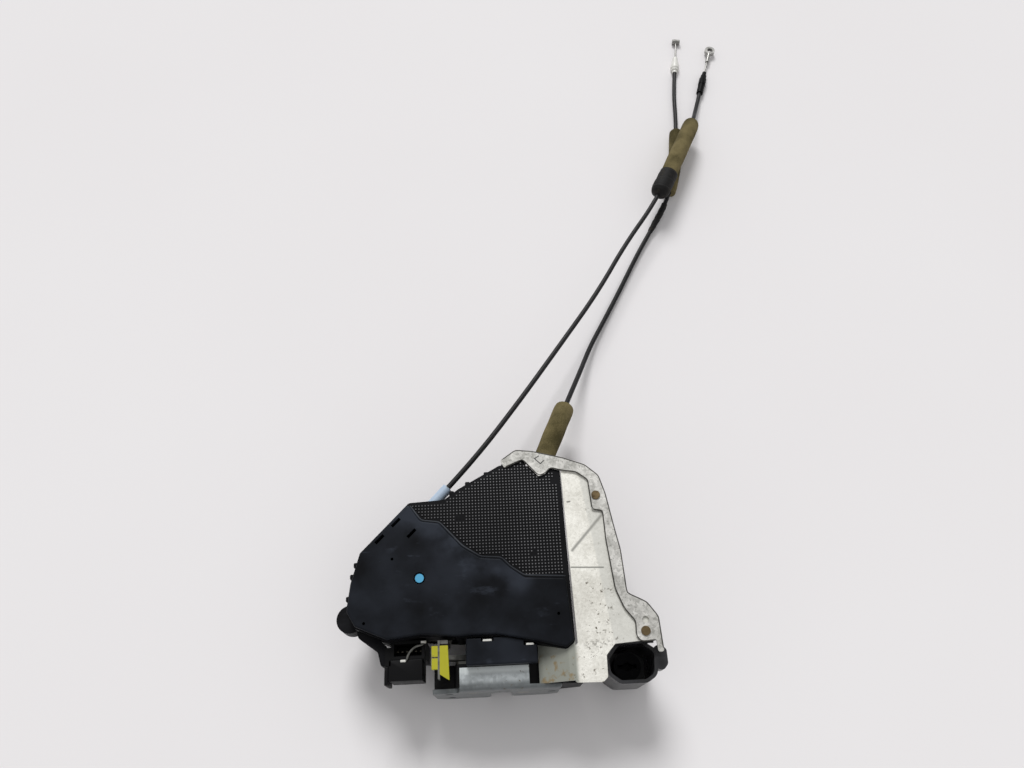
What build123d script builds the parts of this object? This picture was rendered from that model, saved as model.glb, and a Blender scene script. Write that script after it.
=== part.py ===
from build123d import *
import math
import os

# Power door latch of a car's front door, as it comes off the car, with its two Bowden cables.
# It lies on its inner side: +X along the case, +Y towards the cables, +Z up, away from the table.
# The latch face that is bolted to the door's shut face is upright and looks along -Y.

# ---- fits, in mm ----
RUNNING = 0.05  # radial play of a pin in its bearing
GAP = 0.3  # play between a moving piece and what it passes

# ---- main case: a moulding between two covers ----
CASE_Z0 = 28.0  # rear edge of the case wall
CASE_Z1 = 56.0  # outer face of the waffled panel
WALL = 2.2  # moulded walls
WEB_Z = 40.0  # rear face of the web between the two pockets
WEB_T = 2.0
CORNER = 3.0  # corner radius of the case in plan
CASE_LEFT = ((-54.6, 40.4), (-84.5, 9.5), (-89.5, -9.0), (-91.5, -26.5), (-86.0, -35.5), (-66.5, -44.0))
CASE_FOOT = ((-47.0, -42.0), (-25.0, -43.8), (-2.0, -43.5), (21.0, -48.3), (39.5, -53.0), (44.6, -49.0))
CASE_HEAD = ((43.2, 60.5), (4.0, 63.0), (-22.8, 48.3), (-32.0, 41.5))
COVER_STEP = ((42.5, -11.0), (17.0, -9.6), (8.8, -3.6), (3.1, 2.4), (-9.6, 3.6), (-20.7, 10.8), (-34.8, 26.3),
              (-46.4, 28.2))
CASE_OUTLINE = CASE_LEFT + CASE_FOOT + CASE_HEAD
COVER_OUTLINE = CASE_LEFT + CASE_FOOT + COVER_STEP
PANEL_OUTLINE = CASE_HEAD + CASE_LEFT[:1] + COVER_STEP[::-1]
LOBE_X, LOBE_Y, LOBE_R = -91.0, -28.0, 8.4  # round end of the case, low on the left
LOBE_Z0, LOBE_Z1 = 30.0, 44.0
SADDLE_X0, SADDLE_X1 = 9.0, 34.0  # block that the latch head is fixed to
SADDLE_Z1 = 44.5
COVER_INSET = 0.8  # the cover lies that far inside the case's edge
COVER_T = 3.5
COVER_SKIN = 2.0
COVER_EDGE = 1.2  # rounding of the cover's upper edge
COVER_SLOTS = ((-62.1, 27.1), (-72.0, 16.9), (-52.2, 19.8))
COVER_HOLES = ((-64.0, 4.2), (-80.0, -33.4), (35.8, -32.9))
SCREW_R = 1.6
SCREW_HEAD_R = 3.6
SCREW_HEAD_T = 1.8
SCREW_GRIP = 8.0
POST_R = 4.0
REAR_SCREWS = ((-80.0, -24.0), (36.0, 52.0), (36.0, -42.0), (-30.0, 35.0))

# ---- rear cover: tray with a deep dome that the lock lies on ----
TRAY_Z0 = 15.0
TRAY_TAPER = 12.0  # draft, in degrees
TRAY_T = 2.2
DOME_X0, DOME_X1 = -66.0, 30.0
DOME_Y0, DOME_Y1 = -30.0, 34.0
DOME_TAPER = 25.0
DOME_ROUND = 10.0

# ---- latch head ----
FACE_Y = -73.0  # outer face of the base plate
PLATE_T = 2.6
PLATE_X0, PLATE_X1 = -41.0, 36.0
PLATE_Z1 = 50.0
EAR_X, EAR_Z1 = -26.0, 41.5  # low ear on the left
NOSE_X = 49.0  # right end of the plastic body, beyond the plate
FLANGE_X0, FLANGE_X1 = -24.4, 16.6  # bent top flange
FLANGE_DEEP = 13.2
MOUTH_X = -0.5
MOUTH_R = 6.5
MOUTH_FLARE = 3.0
POCKET_DEEP = 8.0  # room for the ratchet and pawl behind the base plate
FLOOR_T = 5.0
BACK_T = 2.0
STEEL_T = 4.5  # ratchet and pawl
SKIN = 0.5  # plastic over the ratchet's steel
TAP_R = 2.5  # M6 tapping hole
BOSS_R = 4.4
BOSS_DEEP = 4.0
TAPPED = ((-31.5, 34.0), (-31.5, 11.0), (30.5, 24.0))  # M6 fixings, x and z
RATCHET_X, RATCHET_Z = 13.5, 25.0
RATCHET_PIN_R = 4.2
THROAT_REACH = 14.0  # striker centre from the ratchet pivot, when latched
THROAT_R = 6.0
OPEN_TURN = 52.0  # ratchet angle from latched to open
HORN_R = 22.0
RIDE_R = 20.0
NOTCH_R = 15.5
HUB_R = 12.0
TAIL_R = 19.0
PAWL_X, PAWL_Z = -17.0, 36.0
PAWL_PIN_R = 3.2
PAWL_HUB_R = 6.0
PAWL_TIP_X, PAWL_TIP_Z, PAWL_TIP_R = -3.5, 39.6, 2.6
PIN_HEAD_T = 1.2
PIN_HEAD_R = 6.0
CAP_X0, CAP_X1 = -20.0, 22.0  # plastic cap over the latch head
CAP_Y1 = -44.2
CAP_Z0, CAP_Z1 = 50.0, 57.0
CAP_POCKET_Y1 = -51.8
CAP_SLOTS = ((-7.3, -46.4), (17.8, -49.6))  # middle and front edge of the slots along the case

# ---- outside release train ----
OPEN_T = 2.5
TAB_X = -36.0  # middle of the open lever's bent tab
TAB_T = 1.2
TAB_Z0, TAB_Z1 = 48.0, 56.0
TAB_Y0, TAB_Y1 = -66.0, -44.5
CLIP_W = 5.6
CLIP_Z = 54.2  # the clip's strip lies above this behind the open lever's arm
EAR_T = 3.6
RELEASE_X, RELEASE_Y = -31.0, -30.0
RELEASE_KNEE_X, RELEASE_KNEE_Y = -60.0, -24.0
RELEASE_TURN = 9.0
RELEASE_PIN_R = 3.0
RELEASE_Z = 33.0
LEVER_T = 3.0
LEVER_HUB_R = 6.0
LUG_Y = -45.4  # middle of the lever's upright lug
LUG_W = 4.6
LUG_T = 2.0
NIPPLE_R = 1.7
NIPPLE_WALL = 1.5
WIRE_R = 0.75
WIRE_LIFT = 1.2  # wire axis above its lever

# ---- lock train ----
LOCK_X, LOCK_Y = -47.2, -8.2
LOCK_SHAFT_R = 3.2
LOCK_Z = 22.0
LINK_X, LINK_Y = -20.0, 26.0
LINK_SWING = 12.0  # each way from the line of centres
LINK_PIN_R = 3.0
DRIVE_PIN_R = 1.8
BLUE_R = 2.65
BLUE_HOLE_R = 3.6
WHEEL_TEETH = 30
WORM_PITCH = 2.5
WHEEL_Z0 = 45.5
WHEEL_T = 5.0
MESH = 0.9  # how deep the worm's ridge stands in the wheel's gaps
WORM_CORE_R = 2.9  # the worm is a round core carried round its axis as it runs along it
WORM_ECC = 0.7
WORM_TURNS = 3
WORM_SHAFT_R = 1.0
WORM_ROOM = 26.0  # from the motor's face to the bearing
MOTOR_L, MOTOR_W, MOTOR_H = 20.0, 13.0, 11.0

# ---- guard plate and frame over the case's right side ----
GUARD_T = 1.6
FRAME_T = 1.4
RIVETS = ((64.8, 39.7), (86.7, -45.0))
RIVET_R = 1.6
RIVET_HEAD_R = 2.8

# ---- key cylinder funnel ----
FUNNEL_Z0, FUNNEL_Z1 = 6.0, 48.0
FUNNEL_OUTLINE = ((62.4, -58.5), (69.5, -49.6), (85.0, -48.8), (94.0, -55.0), (92.5, -69.0), (86.0, -73.0),
                  (70.0, -73.0), (63.0, -67.5))
FUNNEL_WALL = 2.0
ROTOR_X, ROTOR_Y = 78.5, -61.0
ROTOR_R = 8.5
ROTOR_Z1 = 22.0
STEM_R = 4.0

# ---- connector ----
SOCKET_X0, SOCKET_X1 = -64.9, -44.8
SOCKET_Y0, SOCKET_Y1 = -53.5, -43.0
SOCKET_Z0, SOCKET_Z1 = 12.0, 50.0
SOCKET_FLOOR = 33.0
SOCKET_WALL = 1.8
FIN_T = 3.6
FIN_Y0, FIN_Y1 = -57.0, -46.5
FIN_Z0 = 19.0
PIN_COUNT = 6

# ---- cables ----
CASING_R = 1.8
GLAND_R = 3.6
FOAM_R = 7.2
FOAM_UNDER_R = 6.0
FOAM_PLAY = 1.0
RELEASE_ROUTE = (
    (-31.1, 55.4, 37.2), (-11.5, 76.4, 37.2), (20.8, 119.4, 34.0), (52.9, 165.4, 29.0), (86.0, 213.0, 24.6),
    (112.8, 259.0, 22.0), (142.6, 300.8, 21.4), (167.0, 347.8, 22.4), (188.5, 392.7, 16.0),
    (197.6, 418.4, 3.4), (204.5, 439.2, 3.4),
)
RELEASE_GLAND_L = 22.0
RELEASE_FERRULE_L = 11.5
RELEASE_WIRE_L = 45.5  # wire in the open, from its ferrule to the eye
LOCK_ROUTE = (
    (31.4, 67.6, 32.8), (43.4, 94.0, 32.8), (54.8, 120.6, 24.4), (67.9, 150.9, 12.5), (78.4, 175.7, 6.0),
    (90.6, 197.6, 3.2), (107.8, 228.6, 2.2), (125.6, 262.1, 2.1), (139.3, 284.9, 2.7), (154.4, 309.5, 5.2),
    (163.0, 331.0, 6.5), (170.0, 358.0, 6.6), (175.2, 391.0, 6.4), (178.4, 414.1, 3.6), (181.0, 442.0, 2.5),
    (185.2, 466.9, 2.5),
)
LOCK_GLAND_L = 13.0
LOCK_FERRULE_L = 19.5
LOCK_WIRE_L = 22.5
RELEASE_FOAM_SPAN = (0.22, 0.95)  # shares of the two runs at its ends
PLATE_BACK = FACE_Y + PLATE_T
POCKET_FLOOR = PLATE_BACK + POCKET_DEEP
BODY_BACK = POCKET_FLOOR + FLOOR_T
BACK_Y = BODY_BACK + BACK_T
COVER_TOP = CASE_Z1 + COVER_T


def beyond(a, b, distance):
    """Point that lies distance further along the line from a to b."""
    return tuple(Vector(*b) + (Vector(*b) - Vector(*a)).normalized() * distance)


RELEASE_IN = beyond(RELEASE_ROUTE[1], RELEASE_ROUTE[0], RELEASE_GLAND_L)
RELEASE_TIP = beyond(RELEASE_ROUTE[-2], RELEASE_ROUTE[-1], RELEASE_FERRULE_L)
RELEASE_EYE = beyond(RELEASE_ROUTE[-1], RELEASE_TIP, RELEASE_WIRE_L)
LOCK_IN = beyond(LOCK_ROUTE[1], LOCK_ROUTE[0], LOCK_GLAND_L)
LOCK_TIP = beyond(LOCK_ROUTE[-2], LOCK_ROUTE[-1], LOCK_FERRULE_L)
LOCK_BARREL = beyond(LOCK_ROUTE[-1], LOCK_TIP, LOCK_WIRE_L)


# ---- plain shapes ----
def box(x0, x1, y0, y1, z0, z1):
    return Pos((x0 + x1) / 2, (y0 + y1) / 2, (z0 + z1) / 2) * Box(x1 - x0, y1 - y0, z1 - z0)


def rod(x, y, r, z0, z1):
    return Pos(x, y, (z0 + z1) / 2) * Cylinder(r, z1 - z0)


def rod_y(x, z, r, y0, y1):
    return Pos(x, (y0 + y1) / 2, z) * Rot(90, 0, 0) * Cylinder(r, y1 - y0)


def rod_x(y, z, r, x0, x1):
    return Pos((x0 + x1) / 2, y, z) * Rot(0, 90, 0) * Cylinder(r, x1 - x0)


def rod_between(start, end, r):
    line = Line(start, end)
    return Plane(origin=start, z_dir=line % 0) * Pos(0, 0, line.length / 2) * Cylinder(r, line.length)


def outline(corners, r):
    return make_face(FilletPolyline(*corners, radius=r, close=True))


def slab(corners, z0, z1, r=CORNER, inset=0.0):
    """A plan outline with rounded corners, drawn in by inset and raised from z0 to z1."""
    face = outline(corners, r)
    if inset:
        face = offset(face, amount=-inset, kind=Kind.INTERSECTION)
    return Pos(0, 0, z0) * extrude(face, z1 - z0, dir=(0, 0, 1))


def upright(face, y0, y1):
    """A face drawn in X and Z, carried from y1 to y0."""
    return Pos(0, y1, 0) * extrude(Plane.XZ * face, y1 - y0, dir=(0, -1, 0))


def link_face(a, b):
    """Straight-sided link between two round ends, each x, y and radius."""
    ends = [Pos(x, y) * Circle(r) for x, y, r in (a, b)]
    return make_hull(ends[0].edges() + ends[1].edges())


def link(a, b, z0, z1):
    return Pos(0, 0, z0) * extrude(link_face(a, b), z1 - z0, dir=(0, 0, 1))


def polar(x, y, r, angle):
    turn = math.radians(angle)
    return x + r * math.cos(turn), y + r * math.sin(turn)


# ---- where the two cables pull their levers ----
def unit(a, b):
    span = math.hypot(b[0] - a[0], b[1] - a[1])
    return (b[0] - a[0]) / span, (b[1] - a[1]) / span


def pull(pivot, inlet, route, swing):
    """Foot of the perpendicular on the wire, arm length, and the wire's end at the start of the swing."""
    ux, uy = unit(inlet, route[0])
    along = (pivot[0] - inlet[0]) * ux + (pivot[1] - inlet[1]) * uy
    foot = (inlet[0] + along * ux, inlet[1] + along * uy)
    arm = math.hypot(foot[0] - pivot[0], foot[1] - pivot[1])
    half = arm * math.tan(math.radians(swing / 2))
    return foot, arm, (foot[0] - half * ux, foot[1] - half * uy), 2 * half, (ux, uy)


RELEASE_FOOT, RELEASE_ARM, RELEASE_END, RELEASE_TRAVEL, RELEASE_PULL = pull(
    (RELEASE_X, RELEASE_Y), RELEASE_IN, RELEASE_ROUTE, RELEASE_TURN)
LOCK_FOOT, LOCK_ARM, LOCK_END, LOCK_TRAVEL, LOCK_PULL = pull(
    (LINK_X, LINK_Y), LOCK_IN, LOCK_ROUTE, 2 * LINK_SWING)
CENTRES = math.hypot(LOCK_X - LINK_X, LOCK_Y - LINK_Y)
CENTRES_ANGLE = math.degrees(math.atan2(LOCK_Y - LINK_Y, LOCK_X - LINK_X))
LINK_DRIVE = CENTRES / 2
DRIVE_X, DRIVE_Y = polar(LINK_X, LINK_Y, LINK_DRIVE, CENTRES_ANGLE - LINK_SWING)
LINK_Z = LOCK_Z + LEVER_T + GAP
RELEASE_WIRE_Z = RELEASE_IN[2]
LOCK_WIRE_Z = LOCK_IN[2]


# ---- case and covers ----
def main_case():
    body = slab(CASE_OUTLINE, CASE_Z0, CASE_Z1)
    body += rod(LOBE_X, LOBE_Y, LOBE_R, LOBE_Z0, LOBE_Z1)
    saddle_y = CASE_FOOT[2][1] + WALL
    body += box(SADDLE_X0, SADDLE_X1, BACK_Y, saddle_y, CASE_Z0, SADDLE_Z1)
    body -= slab(COVER_OUTLINE, WEB_Z + WEB_T, CASE_Z1 + 1, inset=COVER_INSET + WALL)
    body -= slab(PANEL_OUTLINE, CASE_Z0 - 1, CASE_Z1 - WALL, inset=WALL)
    body -= slab(CASE_OUTLINE, CASE_Z0 - 1, WEB_Z, inset=WALL)
    inner = saddle_y - WALL
    body -= box(SADDLE_X0 + WALL, SADDLE_X1 - WALL, BACK_Y + WALL, inner, CASE_Z0 - 1, SADDLE_Z1 - WALL)
    for x, y in REAR_SCREWS:
        top = CASE_Z1 - WALL if y > COVER_STEP[0][1] and x > COVER_STEP[7][0] else WEB_Z + 1
        body += rod(x, y, POST_R, CASE_Z0, top)
        body -= rod(x, y, SCREW_R, CASE_Z0 - 1, CASE_Z0 + SCREW_GRIP)
    link_post = LINK_Z + LEVER_T + GAP
    body += rod(LINK_X, LINK_Y, LINK_PIN_R + WALL, link_post, CASE_Z1 - WALL)
    body -= rod(LINK_X, LINK_Y, LINK_PIN_R, link_post - 1, link_post + SCREW_GRIP)
    body -= rod(RELEASE_X, RELEASE_Y, RELEASE_PIN_R, WEB_Z - 1, WEB_Z + WEB_T + 1)
    body -= rod(LOCK_X, LOCK_Y, LOCK_SHAFT_R + RUNNING, WEB_Z - 1, WEB_Z + WEB_T + 1)
    lug_room = LUG_W + RELEASE_ARM * 0.08
    body -= box(RELEASE_X - lug_room - 3, RELEASE_X + 5, FACE_Y, RELEASE_Y - LEVER_HUB_R, CASE_Z0 - 1,
                RELEASE_Z + LEVER_T + GAP)
    body -= box(RELEASE_X - lug_room - 3, RELEASE_X + 5, FACE_Y, LUG_Y + 3.2, CASE_Z0, CASE_Z1 + 1)
    body -= rod_y(RATCHET_X, RATCHET_Z, RATCHET_PIN_R + 2.0, BACK_Y - 1, BACK_Y + PIN_HEAD_T + GAP)
    body -= rod_between(RELEASE_IN, RELEASE_ROUTE[0], GLAND_R)
    body -= rod_between((*RELEASE_END, RELEASE_WIRE_Z), RELEASE_IN, NIPPLE_R + GAP)
    return body - rod_between(LOCK_IN, LOCK_ROUTE[0], GLAND_R)


def front_cover():
    lid = slab(COVER_OUTLINE, CASE_Z1, COVER_TOP, inset=COVER_INSET)
    lid -= slab(COVER_OUTLINE, CASE_Z1 - 1, COVER_TOP - COVER_SKIN, inset=COVER_INSET + WALL)
    lid = fillet(lid.faces().sort_by(Axis.Z)[-1].edges(), COVER_EDGE)
    lid -= rod(LOCK_X, LOCK_Y, BLUE_HOLE_R, CASE_Z1, COVER_TOP + 1)
    for x, y in COVER_SLOTS:
        lid -= Pos(x, y, COVER_TOP) * Rot(0, 0, 45.5) * Box(7.0, 2.0, 3 * COVER_SKIN)
    for x, y in COVER_HOLES:
        lid -= rod(x, y, 0.9, CASE_Z1, COVER_TOP + 1)
    return lid


def tray_face(corners, inset):
    face = outline(corners, CORNER)
    return offset(face, amount=-inset, kind=Kind.INTERSECTION) if inset else face


def rear_cover():
    depth = CASE_Z0 - TRAY_Z0
    dome = [(DOME_X0, DOME_Y0), (DOME_X1, DOME_Y0), (DOME_X1, DOME_Y1), (DOME_X0 + 18, DOME_Y1), (DOME_X0, DOME_Y1 - 20)]
    outer = Pos(0, 0, CASE_Z0) * extrude(tray_face(CASE_OUTLINE, 0), -depth, taper=TRAY_TAPER)
    outer += Pos(0, 0, TRAY_Z0 + 1) * extrude(outline(dome, DOME_ROUND), -TRAY_Z0 - 1, taper=DOME_TAPER)
    inner = Pos(0, 0, CASE_Z0) * extrude(tray_face(CASE_OUTLINE, TRAY_T), -(depth - TRAY_T), taper=TRAY_TAPER)
    dome_in = offset(outline(dome, DOME_ROUND), amount=-TRAY_T, kind=Kind.INTERSECTION)
    inner += Pos(0, 0, TRAY_Z0 + 1 + TRAY_T) * extrude(dome_in, -TRAY_Z0 - 1, taper=DOME_TAPER)
    body = outer - inner
    for x, y in REAR_SCREWS:
        seat = TRAY_Z0 + 2 * SCREW_HEAD_T
        body += rod(x, y, POST_R, TRAY_Z0 + SCREW_HEAD_T, CASE_Z0)
        body += rod(x, y, SCREW_HEAD_R + GAP + 1.2, TRAY_Z0 + 1, seat + 1.5)
        body -= rod(x, y, SCREW_HEAD_R + GAP, TRAY_Z0 - 1, seat)
        body -= rod(x, y, SCREW_R, TRAY_Z0, CASE_Z0 + 1)
    return body


def cover_screws():
    seat = TRAY_Z0 + 2 * SCREW_HEAD_T
    screws = []
    for x, y in REAR_SCREWS:
        screw = rod(x, y, SCREW_R, seat - SCREW_HEAD_T, CASE_Z0 + SCREW_GRIP)
        screws.append(screw + rod(x, y, SCREW_HEAD_R, seat - SCREW_HEAD_T, seat))
    return Compound(children=screws)


# ---- latch head ----
def mouth_face(widen):
    """Striker slot: a round end at the latched striker, open and flared at the bottom edge."""
    r = MOUTH_R + widen
    slot = Pos(MOUTH_X, RATCHET_Z) * Circle(r)
    slot += Pos(MOUTH_X, RATCHET_Z / 2 - 5) * Rectangle(2 * r, RATCHET_Z + 10)
    flare = Polygon((MOUTH_X - r - MOUTH_FLARE, -1), (MOUTH_X + r + MOUTH_FLARE, -1),
                    (MOUTH_X + r, 2 * MOUTH_FLARE), (MOUTH_X - r, 2 * MOUTH_FLARE), align=None)
    return slot + flare


def base_plate():
    edge = ((PLATE_X0, 6), (PLATE_X0, EAR_Z1), (EAR_X, EAR_Z1), (EAR_X + 1.6, PLATE_Z1), (FLANGE_X1 + 0.4, PLATE_Z1),
            (PLATE_X1, 44), (PLATE_X1, 6), (PLATE_X1 - 8, 0), (PLATE_X0 + 8, 0))
    plate = upright(outline(edge, 1.5) - mouth_face(0), FACE_Y, PLATE_BACK)
    plate += box(FLANGE_X0, FLANGE_X1, FACE_Y, FACE_Y + FLANGE_DEEP, PLATE_Z1 - PLATE_T, PLATE_Z1)
    bend = plate.edges().filter_by(Axis.X).filter_by_position(Axis.Z, PLATE_Z1 - 0.1, PLATE_Z1 + 0.1)
    plate = fillet(bend.filter_by_position(Axis.Y, FACE_Y - 0.1, FACE_Y + 0.1), 0.8 * PLATE_T)
    for x, z in TAPPED:
        plate += rod_y(x, z, BOSS_R, PLATE_BACK, PLATE_BACK + BOSS_DEEP)
        plate -= rod_y(x, z, TAP_R, FACE_Y - 1, PLATE_BACK + BOSS_DEEP + 1)
    plate -= rod_y(RATCHET_X, RATCHET_Z, RATCHET_PIN_R, FACE_Y - 1, PLATE_BACK + 1)
    plate -= rod_y(PAWL_X, PAWL_Z, PAWL_PIN_R, FACE_Y - 1, PLATE_BACK + 1)
    return plate


def head_edge(margin, right):
    """Outline of the plastic behind the base plate, with its own points on the right side."""
    return ((PLATE_X0 + margin, 7), (PLATE_X0 + margin, EAR_Z1 - margin), (EAR_X - 2, EAR_Z1 - margin),
            (EAR_X - 0.5, PLATE_Z1 - PLATE_T), (FLANGE_X1, PLATE_Z1 - PLATE_T), (22.5, 44.6), *right,
            (PLATE_X1 - 8, margin), (PLATE_X0 + 8, margin))


def ratchet_room():
    ride = RIDE_R + SKIN + GAP
    horn = HORN_R + SKIN + GAP
    room = Pos(RATCHET_X, RATCHET_Z) * Circle(ride)
    horn_side = Pos(RATCHET_X - horn, RATCHET_Z - 5) * Rectangle(horn, 1.55 * horn)
    room += (Pos(RATCHET_X, RATCHET_Z) * Circle(horn)) & horn_side
    pawl = Polygon((-24.2, 28.5), (-23.8, PLATE_Z1 - PLATE_T - 1.6), (RATCHET_X, PLATE_Z1 - PLATE_T - 1.6),
                   (2.0, 30.0), (-12.0, 27.0), align=None)
    return room + pawl


def latch_body():
    """Walls round the ratchet's and pawl's pocket, with a nose beyond the base plate's right edge."""
    nose = ((PLATE_X1 + 2, 44.6), (NOSE_X, 36), (NOSE_X, 12), (PLATE_X1 + 4, 6))
    walls = outline(head_edge(1.0, nose), 1.2) - mouth_face(0.3) - ratchet_room()
    walls -= Pos(MOUTH_X + 5, 5.8) * Rectangle(10, 4.4)  # blunts the edge beside the mouth
    for x, z in TAPPED:
        walls -= Pos(x, z) * Circle(BOSS_R + 0.2)
    return upright(walls, PLATE_BACK, POCKET_FLOOR)


def latch_liner():
    """Plastic floor of the pocket, with the striker slot, the bumper's seat and the two pins' bores."""
    edge = ((PLATE_X1 + 2, 44.6), (PLATE_X1 + 4, 40), (PLATE_X1 + 4, 9))
    floor = outline(head_edge(1.0, edge), 1.2) - mouth_face(0.3)
    floor -= Pos(MOUTH_X, RATCHET_Z + MOUTH_R / 2 + 2) * Rectangle(9, MOUTH_R + 4)
    floor -= Pos(RATCHET_X, RATCHET_Z) * Circle(RATCHET_PIN_R)
    floor -= Pos(PAWL_X, PAWL_Z) * Circle(PAWL_PIN_R)
    return upright(floor, POCKET_FLOOR, BODY_BACK)


def mouth_bumper():
    top = RATCHET_Z + MOUTH_R
    return box(MOUTH_X - 4.2, MOUTH_X + 4.2, POCKET_FLOOR, BODY_BACK, top - 0.4, top + 3.8)


def back_plate():
    edge = ((-27, 28), (-27, 44), (22, 44), (33, 40), (33, 8), (27, 3), (-14, 3), (-14, 20))
    plate = upright(outline(edge, 2.0) - mouth_face(0.5), BODY_BACK, BACK_Y)
    plate -= rod_y(RATCHET_X, RATCHET_Z, RATCHET_PIN_R, BODY_BACK - 1, BACK_Y + 1)
    plate -= rod_y(PAWL_X, PAWL_Z, PAWL_PIN_R, BODY_BACK - 1, BACK_Y + 1)
    return plate


def headed_pin(x, z, r, y1, head_y):
    pin = rod_y(x, z, r, FACE_Y, y1)
    return pin + rod_y(x, z, r + 1.6, head_y, head_y + PIN_HEAD_T)


def ratchet_pin():
    return headed_pin(RATCHET_X, RATCHET_Z, RATCHET_PIN_R, BACK_Y + PIN_HEAD_T, BACK_Y)


def pawl_pin():
    end = BACK_Y + GAP + OPEN_T + GAP
    return headed_pin(PAWL_X, PAWL_Z, PAWL_PIN_R, end + PIN_HEAD_T, end)


def pie(r, a0, a1):
    """Sector of a disc from angle a0 to a1, in degrees, under 180 wide."""
    mid = (a0 + a1) / 2
    far = 1.3 * r / math.cos(math.radians((a1 - a0) / 2))
    wedge = Polygon((0, 0), polar(0, 0, far, a0), polar(0, 0, 2 * r, mid), polar(0, 0, far, a1), align=None)
    return Circle(r) & wedge


def ratchet_face(grow):
    """The ratchet when latched, throat to the left; grow thickens it all round."""
    face = Circle(HUB_R + grow) + pie(NOTCH_R + grow, 120, 152) + pie(RIDE_R + grow, 60, 125)
    face += pie(HORN_R + grow, 150, 178) + pie(TAIL_R + grow, 190, 250)
    throat = link_face((-THROAT_REACH, 0, THROAT_R - grow), (-3 * THROAT_REACH, 0, THROAT_R - grow))
    return Pos(RATCHET_X, RATCHET_Z) * Rot(0, 0, OPEN_TURN) * (face - throat)


def ratchet():
    y0 = PLATE_BACK + GAP + SKIN
    steel = upright(ratchet_face(0), y0, y0 + STEEL_T)
    return steel - rod_y(RATCHET_X, RATCHET_Z, RATCHET_PIN_R + RUNNING, y0 - 1, y0 + STEEL_T + 1)


def ratchet_overmould():
    """Plastic skin that quietens the steel: it wraps the edge, but leaves the hub and the pawl's track bare."""
    y0 = PLATE_BACK + GAP
    skin = upright(ratchet_face(SKIN), y0, y0 + STEEL_T + 2 * SKIN)
    skin -= upright(ratchet_face(0), y0 + SKIN, y0 + SKIN + STEEL_T)
    skin -= rod_y(RATCHET_X, RATCHET_Z, HUB_R - 4, y0 - 1, y0 + STEEL_T + 3 * SKIN)
    turned = 90 + OPEN_TURN
    track = Pos(RATCHET_X, RATCHET_Z) * Rot(0, 0, turned) * (pie(HORN_R + 2, -32, 61) - Circle(HUB_R + 1))
    return skin - upright(track, y0 - 1, y0 + STEEL_T + 3 * SKIN)


def pawl():
    y0 = PLATE_BACK + GAP + SKIN
    body = link_face((PAWL_X, PAWL_Z, PAWL_HUB_R), (PAWL_TIP_X, PAWL_TIP_Z, PAWL_TIP_R))
    centre = Pos(RATCHET_X, RATCHET_Z)
    body -= centre * Circle(RIDE_R + GAP)
    horn = HORN_R + SKIN + GAP
    body -= (centre * Circle(horn)) & (Pos(RATCHET_X - 0.84 * horn - 10, RATCHET_Z) * Rectangle(20, 2 * horn))
    steel = upright(body, y0, y0 + STEEL_T)
    return steel - rod_y(PAWL_X, PAWL_Z, PAWL_PIN_R + RUNNING, y0 - 1, y0 + STEEL_T + 1)


def latch_top_cover():
    y0 = FACE_Y + FLANGE_DEEP + GAP
    cap = box(CAP_X0, CAP_X1, y0, CAP_Y1, CAP_Z0, CAP_Z1)
    cap = fillet(cap.edges().filter_by(Axis.Z) + cap.faces().sort_by(Axis.Z)[-1].edges(), 1.0)
    cap -= box(CAP_X0 + WALL, CAP_X1 - WALL, y0 + WALL, CAP_POCKET_Y1, CAP_Z0 - 1, CAP_Z1 - WALL)
    cap -= slab(CASE_OUTLINE, CASE_Z0, COVER_TOP)
    for x, y in CAP_SLOTS:
        cap -= box(x - 3.8, x + 3.8, y, CAP_Y1 + 1, CAP_Z0 - 1, CAP_Z1 + 1)
    return cap


# ---- release train ----
def open_lever():
    y0 = BACK_Y + GAP
    arm = link_face((PAWL_X, PAWL_Z, 7.0), (TAB_X + 2.5, TAB_Z0 + 2.5, 3.4))
    arm = upright(arm, y0, y0 + OPEN_T)
    arm += box(TAB_X - TAB_T / 2, TAB_X + TAB_T / 2, TAB_Y0, TAB_Y1, TAB_Z0, TAB_Z1)
    return arm - rod_y(PAWL_X, PAWL_Z, PAWL_PIN_R + RUNNING, y0 - 1, y0 + OPEN_T + 1)


def open_lever_clip():
    """Yellow clip pushed over the lever's tab: a strip on its right, two ears on its left."""
    right = TAB_X + TAB_T / 2
    left = TAB_X - TAB_T / 2
    y1 = TAB_Y1 - 3.1
    front = BACK_Y - 0.8
    top = TAB_Z1 + 0.6
    edge = ((right, y1), (right, TAB_Y0 + 2.5), (right + CLIP_W, TAB_Y0 - 1), (right + CLIP_W - 0.8, y1))
    strip = slab(edge, CLIP_Z, top, 0.4)
    strip += box(right, right + CLIP_W - 0.8, TAB_Y0 + 3, front, TAB_Z0 + 3, CLIP_Z)
    ears = box(left - EAR_T, left, y1 - 13.0, y1 - 6.9, TAB_Z0 + 4.2, TAB_Z1)
    ears += box(left - EAR_T, left, y1 - 6.1, y1, TAB_Z0 + 4.2, TAB_Z1)
    return Compound(children=[strip, *ears.solids()])


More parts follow.
